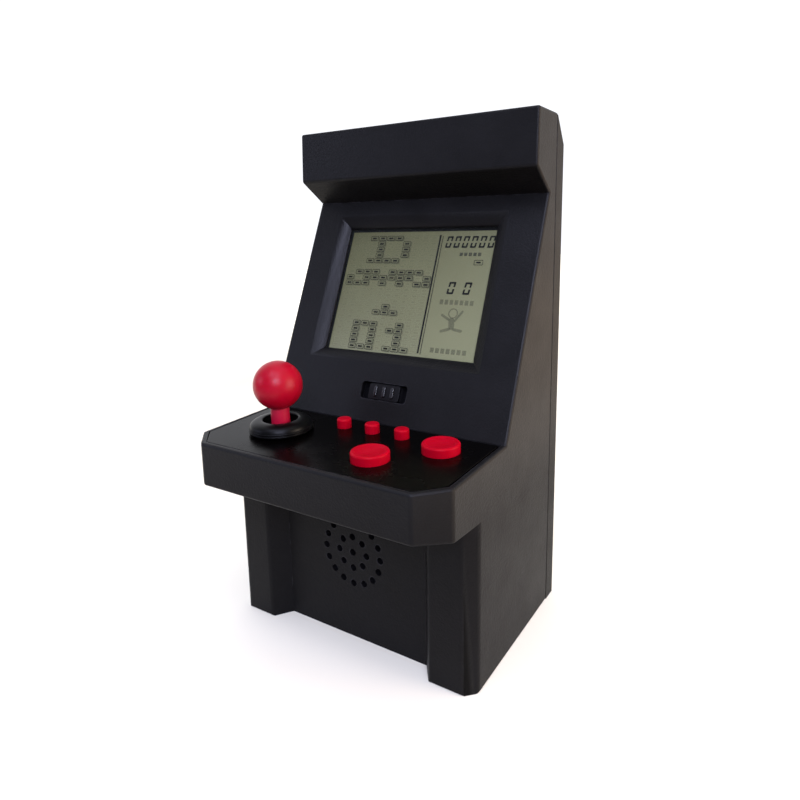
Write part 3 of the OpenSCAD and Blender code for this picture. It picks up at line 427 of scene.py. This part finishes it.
NODE_FINISH = {
    "front_shell": "shell",
    "back_cover": "cover",
    "battery_door": "cover",
    "control_deck": "deck",
    "joystick_collar": "collar",
    "joystick_ball": "ball",
    "joystick_shaft": "shaft",
    "joystick_gimbal": "white",
    "joystick_cross_pin": "steel",
    "joystick_actuator": "white",
    "joystick_spring": "spring",
    "spring_washer": "white",
    "joystick_contacts": "contact",
    "button_a": "red",
    "button_b": "red",
    "small_button_left": "red",
    "small_button_middle": "red",
    "small_button_right": "red",
    "keypad_mat": "rubber",
    "control_board": "board",
    "main_board": "board",
    "ribbon_cable": "ribbon",
    "screen_window": "pane",
    "lcd_glass": "film",
    "lcd_frame": "inner",
    "zebra_strips": "zebra",
    "chip_blob": "resin",
    "board_parts": "parts",
    "switch_knob": "switch",
    "switch_lever": "white",
    "switch_case": "steel",
    "speaker_frame": "magnet",
    "speaker_cone": "cone",
    "speaker_magnet": "magnet",
    "speaker_clamp": "inner",
    "speaker_wires": "wire",
    "battery_cells": "cell",
    "battery_springs": "spring",
    "battery_plates": "steel",
    "battery_wires": "wire",
    "door_screw": "steel",
    "back_screws": "steel",
    "deck_screws": "steel",
    "control_board_screws": "steel",
    "main_board_screws": "steel",
    "speaker_screws": "steel",
}
for name, finish in NODE_FINISH.items():
    slots = NODES[name].data.materials
    slots.clear()
    slots.append(FINISH[finish])


# ---- Pieces ----


def mesh_of(name, bm):
    """The mesh of bm, which is freed, with its normals outward."""
    bmesh.ops.recalc_face_normals(bm, faces=bm.faces)
    mesh = bpy.data.meshes.new(name)
    bm.to_mesh(mesh)
    bm.free()
    return mesh


def add_piece(name, mesh, body, finish, place=None):
    """A piece of the object, whose mesh is moved to its place."""
    obj = bpy.data.objects.new(name, mesh)
    bpy.context.scene.collection.objects.link(obj)
    if place is not None:
        mesh.transform(place)
    mesh.materials.clear()
    mesh.materials.append(FINISH[finish])
    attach(obj, body)
    return obj


def rounded(x, v, w, h, r, steps=3):
    """A rectangle with round corners about (x, v)."""
    points = []
    for sx, sv, start in ((1, 1, 0), (-1, 1, 90), (-1, -1, 180), (1, -1, 270)):
        for i in range(steps + 1):
            a = math.radians(start + 90 * i / steps)
            points.append((x + sx * (w / 2 - r) + r * math.cos(a), v + sv * (h / 2 - r) + r * math.sin(a)))
    return points


def soften(obj, angle):
    """Smooth shading with sharp creases kept, and flat faces left flat."""
    obj.data.shade_smooth()
    obj.data.set_sharp_from_angle(angle=math.radians(angle))
    keep = obj.modifiers.new("FlatFaces", "WEIGHTED_NORMAL")
    keep.keep_sharp = True
    keep.weight = 80


class Casing:
    """A copy of a CAD node's mesh with whole flat faces, to be reshaped or have its edges rounded."""

    def __init__(self, node):
        self.node = node
        self.bm = bmesh.new()
        self.bm.from_mesh(NODES[node].data)
        bmesh.ops.remove_doubles(self.bm, verts=self.bm.verts, dist=2e-6)
        bmesh.ops.dissolve_limit(
            self.bm,
            angle_limit=math.radians(0.4),
            verts=self.bm.verts,
            edges=self.bm.edges,
        )

    @staticmethod
    def outside(edge, tree):
        """Can the edge be seen from outside?"""
        middle = (edge.verts[0].co + edge.verts[1].co) / 2
        out = edge.link_faces[0].normal + edge.link_faces[1].normal
        if out.length < 1e-6:
            return False
        out.normalize()
        return tree.ray_cast(middle + out * 0.0004, out, 0.3)[0] is None

    def chosen(self, tree, longer, test):
        """Convex edges that pass the test and, where a tree is given, show from outside."""
        picked = []
        for e in self.bm.edges:
            if len(e.link_faces) != 2 or e.calc_length() < longer * MM:
                continue
            if e.calc_face_angle_signed() < math.radians(12):
                continue
            if test(*e.verts) and (tree is None or self.outside(e, tree)):
                picked.append(e)
        return picked

    def round_off(self, edges, width, segments):
        """Rounds the edges, width millimetres from each."""
        corners = {v for e in edges for v in e.verts}
        bmesh.ops.bevel(
            self.bm,
            geom=list(corners) + edges,
            offset=width * MM,
            offset_type="OFFSET",
            segments=segments,
            profile=0.5,
            affect="EDGES",
            clamp_overlap=False,
            loop_slide=True,
        )

    def shift_recess(self, rim_left, throat_left, up):
        """Moves the rim and the throat of the screen's recess to the left and their tops up."""
        local = ON_PANEL.inverted()
        turn = ON_PANEL.to_3x3()
        for v in self.bm.verts:
            x, y, z = (local @ v.co) / MM
            off = y - RECESS_V
            if abs(x) < RECESS[0] + 0.1 and abs(off) < RECESS[1] + 0.1 and -RECESS_DEPTH - 0.1 < z < 0.1:
                left = rim_left if z > -1 else throat_left
                v.co += turn @ Vector((-left, up if off > 0 else 0.0, 0)) * MM

    def finish(self, name, finish, slot):
        """The piece that stands for the node."""
        obj = add_piece(name, mesh_of(name, self.bm), NODES[self.node]["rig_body"], finish)
        soften(obj, 27)
        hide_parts(self.node)


def tree_of(*names):
    """A search tree of several nodes' faces."""
    whole = bmesh.new()
    for name in names:
        whole.from_mesh(NODES[name].data)
    tree = BVHTree.FromBMesh(whole)
    whole.free()
    return tree


HULL = tree_of("front_shell", "back_cover", "control_deck", "battery_door", "screen_window", "switch_knob")


def on_plane(place, *ends):
    """Where the ends lie on a face, in its own millimetres, or nothing if one is off it."""
    spots = [place.inverted() @ v.co / MM for v in ends]
    return spots if all(abs(s.z) < 0.05 for s in spots) else None


def reach(a, b):
    """How far from the middle the edge reaches to a side, in millimetres."""
    return max(abs(a.co.x), abs(b.co.x)) / MM


def recess_edge(a, b):
    """An edge of the recess or of the switch's slot in the screen panel."""
    return on_plane(ON_PANEL, a, b) is not None and reach(a, b) < 32


def opening_edge(a, b):
    """An edge of the opening that holds the control plate."""
    spots = on_plane(ON_DECK, a, b)
    return spots is not None and all(s.y > 1.2 and abs(s.x) < 40.5 for s in spots)


def seam_edge(a, b):
    """An edge where the two shells meet."""
    return max(abs(a.co.y - SEAM_Y * MM), abs(b.co.y - SEAM_Y * MM)) < 0.25 * MM


def shell_edge(a, b):
    """An outer edge of the front shell: in front of the seam or running back to it."""
    outer = max(a.co.y, b.co.y) < (SEAM_Y - 0.3) * MM or abs(a.co.y - b.co.y) > 4 * MM
    return outer and reach(a, b) > 27.5 and not recess_edge(a, b) and not opening_edge(a, b)


def cover_edge(a, b):
    """An outer edge of the back cover, behind the seam."""
    return min(a.co.y, b.co.y) > (SEAM_Y + 0.4) * MM and reach(a, b) > 30


shell = Casing("front_shell")
shell.shift_recess(RIM_LEFT, THROAT_LEFT, RECESS_UP)
shell.round_off(shell.chosen(HULL, 9.0, shell_edge), *OUTER_ROUND)
shell.round_off(shell.chosen(None, 9.0, recess_edge), *RECESS_ROUND)
shell.round_off(shell.chosen(HULL, 5.0, seam_edge), *SEAM_ROUND)
shell.finish("cabinet_front", "shell", "shell_plastic")

cover = Casing("back_cover")
cover.round_off(cover.chosen(HULL, 6.0, cover_edge), *COVER_ROUND)
cover.round_off(cover.chosen(HULL, 5.0, seam_edge), *SEAM_ROUND)
cover.finish("cabinet_back", "cover", "cover_plastic")

# Control plate, drawn in a little from the rim at its sides and rear so that its gap reads
plate = Casing("control_deck")
for v in plate.bm.verts:
    x, y, _ = ON_DECK.inverted() @ v.co / MM
    if abs(x) > 39.5:
        v.co.x -= math.copysign(PLATE_IN_X * MM, x)
    if y > 35.5:
        v.co.y -= PLATE_IN_Y * MM
plate.finish("control_plate", "deck", "deck_plastic")

# Switch knob: flat on top, under its ribs
knob = Casing("switch_knob")
for v in knob.bm.verts:
    spot = ON_PANEL.inverted() @ v.co / MM
    if spot.z > KNOB_TOP + 0.01:
        spot.z = KNOB_TOP + 0.004
        v.co = ON_PANEL @ (spot * MM)
knob.finish("switch_cap", "switch", "inner_plastic")


def ribs():
    """Three round-ended ribs on the switch's knob."""
    bm = bmesh.new()
    pitch, width, length, rise, base = 2.95, 1.15, 3.5, 0.55, 0.1
    for i in (-1, 0, 1):
        outline = rounded(i * pitch, SLOT_V, width, length, 0.56, 6)
        low = [bm.verts.new((x * MM, v * MM, (KNOB_TOP - base) * MM)) for x, v in outline]
        face = bm.faces.new(low)
        made = bmesh.ops.extrude_face_region(bm, geom=[face])["geom"]
        tops = [g for g in made if isinstance(g, bmesh.types.BMVert)]
        bmesh.ops.translate(bm, verts=tops, vec=(0, 0, rise * MM))
        rim = [e for e in bm.edges if e.verts[0] in tops and e.verts[1] in tops]
        bmesh.ops.bevel(bm, geom=rim, offset=0.28 * MM, segments=4, profile=0.5, affect="EDGES")
    soften(add_piece("switch_ribs", mesh_of("switch_ribs", bm), "switch", "ribs", ON_PANEL), 50)


def lathe(name, profile, body, finish, place, steps):
    """A closed profile of (radius, height) in millimetres turned about the Z axis of place."""
    bm = bmesh.new()
    turns = [2 * math.pi * k / steps for k in range(steps)]
    rings = [
        [bm.verts.new((r * MM * math.cos(a), r * MM * math.sin(a), z * MM)) for a in (turns if r > 1e-6 else [0])]
        for r, z in profile
    ]
    for lower, upper in zip(rings, rings[1:]):
        for k in range(steps):
            j = (k + 1) % steps
            around = (lower[k % len(lower)], lower[j % len(lower)], upper[j % len(upper)], upper[k % len(upper)])
            corners = list(dict.fromkeys(around))
            if len(corners) > 2:
                bm.faces.new(corners)
    return add_piece(name, mesh_of(name, bm), body, finish, place)


def arc(cx, cz, r, start, stop, steps):
    """Points on an arc of a lathe profile, angles in degrees."""
    turns = [math.radians(start + (stop - start) * i / steps) for i in range(steps + 1)]
    return [(cx + r * math.cos(a), cz + r * math.sin(a)) for a in turns]


def on_deck_at(x, v):
    """The place of a piece that stands on the deck."""
    return ON_DECK @ Matrix.Translation((x * MM, v * MM, 0))


# Ball, open under its lower end where the shaft goes in
STICK = on_deck_at(*JOYSTICK_AT)
BALL_R = 7.03
BALL_Z = 13.65
ball_profile = [(2.72, BALL_Z - 6.49)] + arc(0, BALL_Z, BALL_R, -67.0, 90.0, 48)[1:-1] + [(0, BALL_Z + BALL_R)]
ball = lathe("ball", ball_profile, "stick", "ball", STICK, 128)
soften(ball, 60)
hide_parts("joystick_ball")

# Collar: a low dome over a narrow foot, with two grooves round its side
collar_profile = (
    [(7.4, 0.05), (8.3, 0.05), (8.55, 0.2), (9.1, 0.62), (9.22, 0.75), (9.25, 0.9), (9.22, 1.08), (9.0, 1.15),
     (8.97, 1.25), (9.0, 1.35), (9.15, 1.42), (9.12, 1.7), (8.92, 1.76), (8.9, 1.84), (8.98, 1.92)]
    + [(5.9 + 3.0 * math.cos(math.radians(a)), 2.0 + 1.78 * math.sin(math.radians(a))) for a in range(8, 90, 8)]
    + [(5.6, 3.79), (5.25, 3.74), (5.06, 3.6), (5.0, 3.35), (5.0, 2.85), (6.4, 1.6), (6.4, -4.85), (7.4, -4.85)]
)
collar = lathe("collar", collar_profile + collar_profile[:1], "root", "collar", STICK, 128)
soften(collar, 50)
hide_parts("joystick_collar")


def button(name, x, v, d, h, foot_r, foot_z, body):
    """A cap with a rounded edge over its flange; the large ones have a low round field on top."""
    r = d / 2
    edge = 0.55
    profile = (
        [(0, foot_z), (foot_r, foot_z), (foot_r, -3.2), (r + 1, -3.2), (r + 1, -2.2), (r, -2.2), (r, h - edge)]
        + arc(r - edge, h - edge, edge, 0, 90, 8)[1:]
    )
    if r > 3:
        profile += [(r - 1.0, h), (r - 1.12, h - 0.03), (r - 1.24, h - 0.12), (r - 1.36, h - 0.15), (0, h - 0.15)]
    else:
        profile += [(0, h)]
    made = lathe(name, profile, body, "red", on_deck_at(x, v), 96)
    soften(made, 50)
    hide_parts(body)


for row in BUTTONS:
    button(*row)
ribs()

# Rubber mat under the buttons: a sheet, and a dome per button
mat = Casing("keypad_mat")
raised = [f for f in mat.bm.faces if (ON_DECK.inverted() @ f.calc_center_median()).z > (MAT_TOP + 0.02) * MM]
bmesh.ops.delete(mat.bm, geom=raised, context="FACES")
bmesh.ops.holes_fill(mat.bm, edges=[e for e in mat.bm.edges if e.is_boundary], sides=0)
mat.finish("keypad_sheet", "rubber", "keypad_rubber")
DOME_GAP = 0.04  # between a dome and its button's foot
LARGE_DOME = (4.0, 2.6, 1.2)  # radius at the sheet and at the top, and the button's travel
SMALL_DOME = (2.5, 1.6, 0.9)
for i, (_, x, v, d, _, _, foot_z, body) in enumerate(BUTTONS):
    wide, narrow, travel = LARGE_DOME if d > 5 else SMALL_DOME
    top = foot_z - DOME_GAP
    profile = [(0, MAT_TOP), (wide, MAT_TOP), (narrow + 0.12, top - 0.2), (narrow - 0.1, top), (0, top)]
    place = on_deck_at(x, v)
    dome = lathe(f"keypad_dome_{i + 1}", profile, "root", "rubber", place, 48)
    soften(dome, 40)
    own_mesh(dome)


# ---- Display ----

FILM_T = 0.01  # thickness of a printed mark
PRINT_GAP = 0.008  # between the glass and the marks
LIT_LEVEL, SHADOW_LEVEL, EDGE_SHADE_LEVEL = 0.004, -0.004, 0.012  # so that marks lie over each other


class Print:
    """Thin shapes on the display's glass, in millimetres across and up the screen panel."""

    def __init__(self):
        self.bm = bmesh.new()

    def loop(self, points, level):
        """Corners of an outline, level millimetres off the others."""
        z = (GLASS_FRONT + PRINT_GAP + level) * MM
        return [self.bm.verts.new((x * MM, v * MM, z)) for x, v in points]

    def fill(self, points, level=0.0):
        """A filled outline."""
        self.bm.faces.new(self.loop(points, level))

    def bar(self, x, v, w, h, level=0.0, shear=0.0):
        """A bar about (x, v), which leans to the right by shear."""
        corners = ((-1, -1), (1, -1), (1, 1), (-1, 1))
        self.fill([(x + a * w / 2 + b * shear * h / 2, v + b * h / 2) for a, b in corners], level)

    def ring(self, outer, inner, level=0.0):
        """The band between two outlines of as many points."""
        a, b = self.loop(outer, level), self.loop(inner, level)
        for i in range(len(a)):
            j = (i + 1) % len(a)
            self.bm.faces.new((a[i], a[j], b[j], b[i]))

    def finish(self, name, ink):
        """The piece, with the shapes given their thickness."""
        bmesh.ops.recalc_face_normals(self.bm, faces=self.bm.faces)
        made = bmesh.ops.extrude_face_region(self.bm, geom=self.bm.faces[:])
        tops = [g for g in made["geom"] if isinstance(g, bmesh.types.BMVert)]
        bmesh.ops.translate(self.bm, verts=tops, vec=(0, 0, FILM_T * MM))
        add_piece(name, mesh_of(name, self.bm), "root", ink, ON_PANEL)


CELL_X0, CELL_V0 = -25.2, 60.0  # middle of the upper left cell
CELL_DX, CELL_DV = 3.3, 1.938
COLUMNS, ROWS = 10, 20


def brick(frames, bars, x, v, level=0.0):
    """One cell: a thin rounded frame with a bar in its middle."""
    frames.ring(rounded(x, v, 2.96, 1.66, 0.2), rounded(x, v, 2.6, 1.3, 0.1), level)
    bars.fill(rounded(x, v, 1.55, 0.52, 0.18), level)


def cell_place(column, row):
    """The middle of a cell; columns count to the right and rows down."""
    return CELL_X0 + column * CELL_DX, CELL_V0 - row * CELL_DV


# A demonstration picture by rows: an open box, a wall, a falling block and two figures
LIT = {
    0: (2, 3, 4, 5),
    1: (3, 6),
    2: (3, 6),
    3: (3, 6),
    4: (2, 3, 4, 5),
    6: (1, 2, 3, 5, 6, 7, 8),
    7: (0, 2, 3, 4, 5, 6, 7, 9),
    8: (0, 1, 2, 4, 6, 8, 9),
    12: (5,),
    13: (4, 5, 6),
    15: (2, 3, 4, 7),
    16: (2, 4, 6, 7),
    17: (2, 4, 7),
    18: (2, 4, 7),
    19: (2, 3, 4, 6, 7, 8),
}
rims, bars, ghosts, shades = Print(), Print(), Print(), Print()
for row in range(ROWS):
    for column in range(COLUMNS):
        x, v = cell_place(column, row)
        if column in LIT.get(row, ()):
            brick(rims, bars, x, v, LIT_LEVEL)
            shades.fill(rounded(x + 0.45, v - 0.3, 2.9, 1.6, 0.25), SHADOW_LEVEL)
        else:
            brick(ghosts, ghosts, x, v)
brick(rims, bars, 21.2, 52.0, LIT_LEVEL)
rims.finish("lcd_cell_frames", "ink_rim")
bars.finish("lcd_cell_bars", "ink_cell")
ghosts.finish("lcd_cells_unlit", "ink_ghost")
shades.finish("lcd_cell_shadows", "ink_shade")


def zero(sheet, x, v, w, h, t):
    """A slanted seven-segment nought of six segments, t thick."""
    gap = 0.12
    lean = 0.14
    across = w - 2 * gap - t * 0.6
    side, middle, long = (w - t) / 2, h / 4 + gap, h / 2 - 3 * gap
    for bx, bv, bw, bh in (
        (0, (h - t) / 2, across, t),
        (side, middle, t, long),
        (side, -middle, t, long),
        (0, (t - h) / 2, across, t),
        (-side, -middle, t, long),
        (-side, middle, t, long),
    ):
        sheet.bar(x + bx + lean * bv, v + bv, bw, bh, LIT_LEVEL, lean)


figures = Print()
for i in range(6):
    zero(figures, 9.98 + i * 2.87, 58.6, 1.95, 3.8, 0.54)
for x in (13.75, 19.15):
    zero(figures, x, 43.8, 2.3, 3.9, 0.6)
figures.finish("lcd_figures", "ink_dark")

# Painted shade: a dark strip along the display's left and top edges, where the recess's wall shades it
edge_shade = Print()
for x, v, w, h in ((-28.25, 42.1, 1.1, 43.0), (0, 62.85, 57.4, 1.3)):
    edge_shade.bar(x, v, w, h, EDGE_SHADE_LEVEL)
edge_shade.finish("lcd_edge_shade", "ink_edge_shade")

divider = Print()
divider.bar(6.5, 41.85, 0.6, 38.2, LIT_LEVEL)
divider.finish("lcd_divider", "ink_dark")
divider_shade = Print()
divider_shade.bar(7.4, 41.6, 0.34, 38.2, SHADOW_LEVEL)
divider_shade.finish("lcd_divider_shadow", "ink_line_shade")

# Plain marks under the figures
marks = Print()
for i in range(5):
    marks.bar(14.9 + i * 1.55, 54.6, 1.05, 1.1)
marks.finish("lcd_marks", "ink_pale")
faint_marks = Print()
for i in range(7):
    faint_marks.bar(11.3 + i * 1.7, 39.3, 1.15, 1.5)
    faint_marks.bar(11.2 + i * 1.8, 24.2, 1.25, 1.5)
faint_marks.finish("lcd_faint_marks", "ink_faint")


def limb(sheet, a, b, w):
    """A round-ended bar from a to b."""
    d = Vector((b[0] - a[0], b[1] - a[1]))
    turn = math.atan2(d.y, d.x)
    points = []
    for centre, start in ((b, -90), (a, 90)):
        for i in range(7):
            k = math.radians(start + 30 * i) + turn
            points.append((centre[0] + w / 2 * math.cos(k), centre[1] + w / 2 * math.sin(k)))
    sheet.fill(points)


# A plain stick figure: head, body, arms and legs
icon = Print()
icon.ring(rounded(16.0, 35.9, 3.2, 3.2, 1.59, 8), rounded(16.0, 35.9, 2.5, 2.5, 1.24, 8))
for a, b, w in (
    ((15.9, 33.6), (16.2, 31.8), 1.9),
    ((14.9, 33.9), (12.4, 35.2), 0.75),
    ((17.0, 33.7), (19.0, 36.6), 0.75),
    ((15.6, 31.0), (13.0, 30.2), 0.9),
    ((17.0, 31.0), (19.6, 30.6), 0.9),
):
    limb(icon, a, b, w)
icon.finish("lcd_icon", "ink_faint")


# ---- Stage ----

WARM = (1.0, 0.83, 0.68)
COOL = (0.70, 0.74, 1.0)
AIM = (0, 0, 0.08)  # where the lights point
FLOOR_DROP = 0.00004  # keeps the floor clear of the object's bottom


def floor():
    """White paper: warmer at the right, darker in front, and glowing far behind and at the left."""
    bm = bmesh.new()
    bmesh.ops.create_circle(bm, cap_ends=True, radius=3.0, segments=96)
    mesh = bpy.data.meshes.new("Floor")
    bm.to_mesh(mesh)
    bm.free()
    obj = bpy.data.objects.new("Floor", mesh)
    obj.location.z = -FLOOR_DROP
    bpy.context.scene.collection.objects.link(obj)
    p = Paint("FloorPaper", 0.8, specular=0.2)
    place = p.axes()
    warm = p.mix(p.span(place["X"], 0.1, 0.17), (1, 1, 1), WARM)
    near = p.span(place["Y"], -0.18, -0.08)
    tone = p.mix(near, (0.25, 0.25, 0.25), p.mix(p.noise(12.0), (0.90, 0.85, 0.70), (0.93, 0.88, 0.73)))
    tinted = p.node("ShaderNodeMix", data_type="RGBA", blend_type="MULTIPLY")
    p.put(1.0, tinted.inputs[0])
    p.put(tone, tinted.inputs[6])
    p.put(warm, tinted.inputs[7])
    p.set("Base Color", tinted.outputs[2])
    p.set("Emission Color", warm)
    far = p.span(place["Y"], 0.2, 1.2, 0.06, 0.8)
    aside = p.span(place["X"], -0.25, -0.6, 0.0, 0.8)
    p.set("Emission Strength", p.math("MULTIPLY", near, p.math("MAXIMUM", far, aside)))
    mesh.materials.append(p.material)


floor()


def sky():
    """A bright studio behind and beside the object, warmer on its right, and a dim room in front."""
    world = bpy.data.worlds.new("Studio")
    bpy.context.scene.world = world
    world.use_nodes = True
    tree = world.node_tree
    place = tree.nodes.new("ShaderNodeTexCoord")
    split = tree.nodes.new("ShaderNodeSeparateXYZ")
    tree.links.new(place.outputs["Generated"], split.inputs[0])

    def ramp(axis, low, high, to_low, to_high):
        n = tree.nodes.new("ShaderNodeMapRange")
        n.interpolation_type = "SMOOTHSTEP"
        for name, number in zip(SPAN_INPUTS, (low, high, to_low, to_high)):
            n.inputs[name].default_value = number
        tree.links.new(split.outputs[axis], n.inputs["Value"])
        return n.outputs[0]

    tint = tree.nodes.new("ShaderNodeMix")
    tint.data_type = "RGBA"
    tint.inputs[6].default_value = (0.94, 0.95, 1.0, 1.0)
    tint.inputs[7].default_value = (*WARM, 1.0)
    tree.links.new(ramp("X", 0.05, 0.6, 0.0, 1.0), tint.inputs[0])
    tree.links.new(tint.outputs[2], tree.nodes["Background"].inputs["Color"])
    tree.links.new(ramp("Y", -0.5, 0.3, 0.13, 1.16), tree.nodes["Background"].inputs["Strength"])


sky()


def soft_box(name, at, size, power, tint):
    """A flat lamp that faces the object."""
    light = bpy.data.lights.new(name, "AREA")
    light.shape = "RECTANGLE"
    light.size, light.size_y = size
    light.energy = power
    light.color = tint
    obj = bpy.data.objects.new(name, light)
    obj.location = at
    obj.rotation_mode = "QUATERNION"
    obj.rotation_quaternion = (Vector(AIM) - Vector(at)).to_track_quat("-Z", "Y")
    bpy.context.scene.collection.objects.link(obj)


soft_box("HighFront", (0.12, -0.46, 1.0), (0.9, 0.45), 6.5, COOL)
soft_box("LeftFront", (-0.74, -0.6, 0.36), (0.45, 0.3), 1.5, COOL)
soft_box("KeyFront", (0.49, -0.73, 0.60), (0.42, 0.4), 10.5, COOL)
soft_box("RightSide", (0.95, 0.2, 0.2), (0.5, 0.6), 7.0, WARM)


CAMERA_AT = (0.10322, -0.14536, 0.11760)
CAMERA_TURN = (32.36, 10.32, -0.93)  # degrees to the right, above the level, and of tilt
CAMERA_SHIFT = (-0.0125, -0.06875)
CAMERA_LENS = 27.88


def camera():
    """Stands in front to the right, a little above the display."""
    yaw, pitch, roll = (math.radians(a) for a in CAMERA_TURN)
    back = Vector((math.sin(yaw) * math.cos(pitch), -math.cos(yaw) * math.cos(pitch), math.sin(pitch)))
    level = Vector((0, 0, 1)).cross(back).normalized()
    up = back.cross(level)
    right = math.cos(roll) * level + math.sin(roll) * up
    top = -math.sin(roll) * level + math.cos(roll) * up
    data = bpy.data.cameras.new("Camera")
    data.sensor_width = 36.0
    data.lens = CAMERA_LENS
    data.shift_x, data.shift_y = CAMERA_SHIFT
    data.clip_start = 0.01
    data.clip_end = 20
    obj = bpy.data.objects.new("Camera", data)
    turn = Matrix((right, top, back)).transposed().to_4x4()
    obj.matrix_world = Matrix.Translation(CAMERA_AT) @ turn
    bpy.context.scene.collection.objects.link(obj)
    bpy.context.scene.camera = obj


camera()
bpy.context.scene.view_settings.view_transform = "Standard"
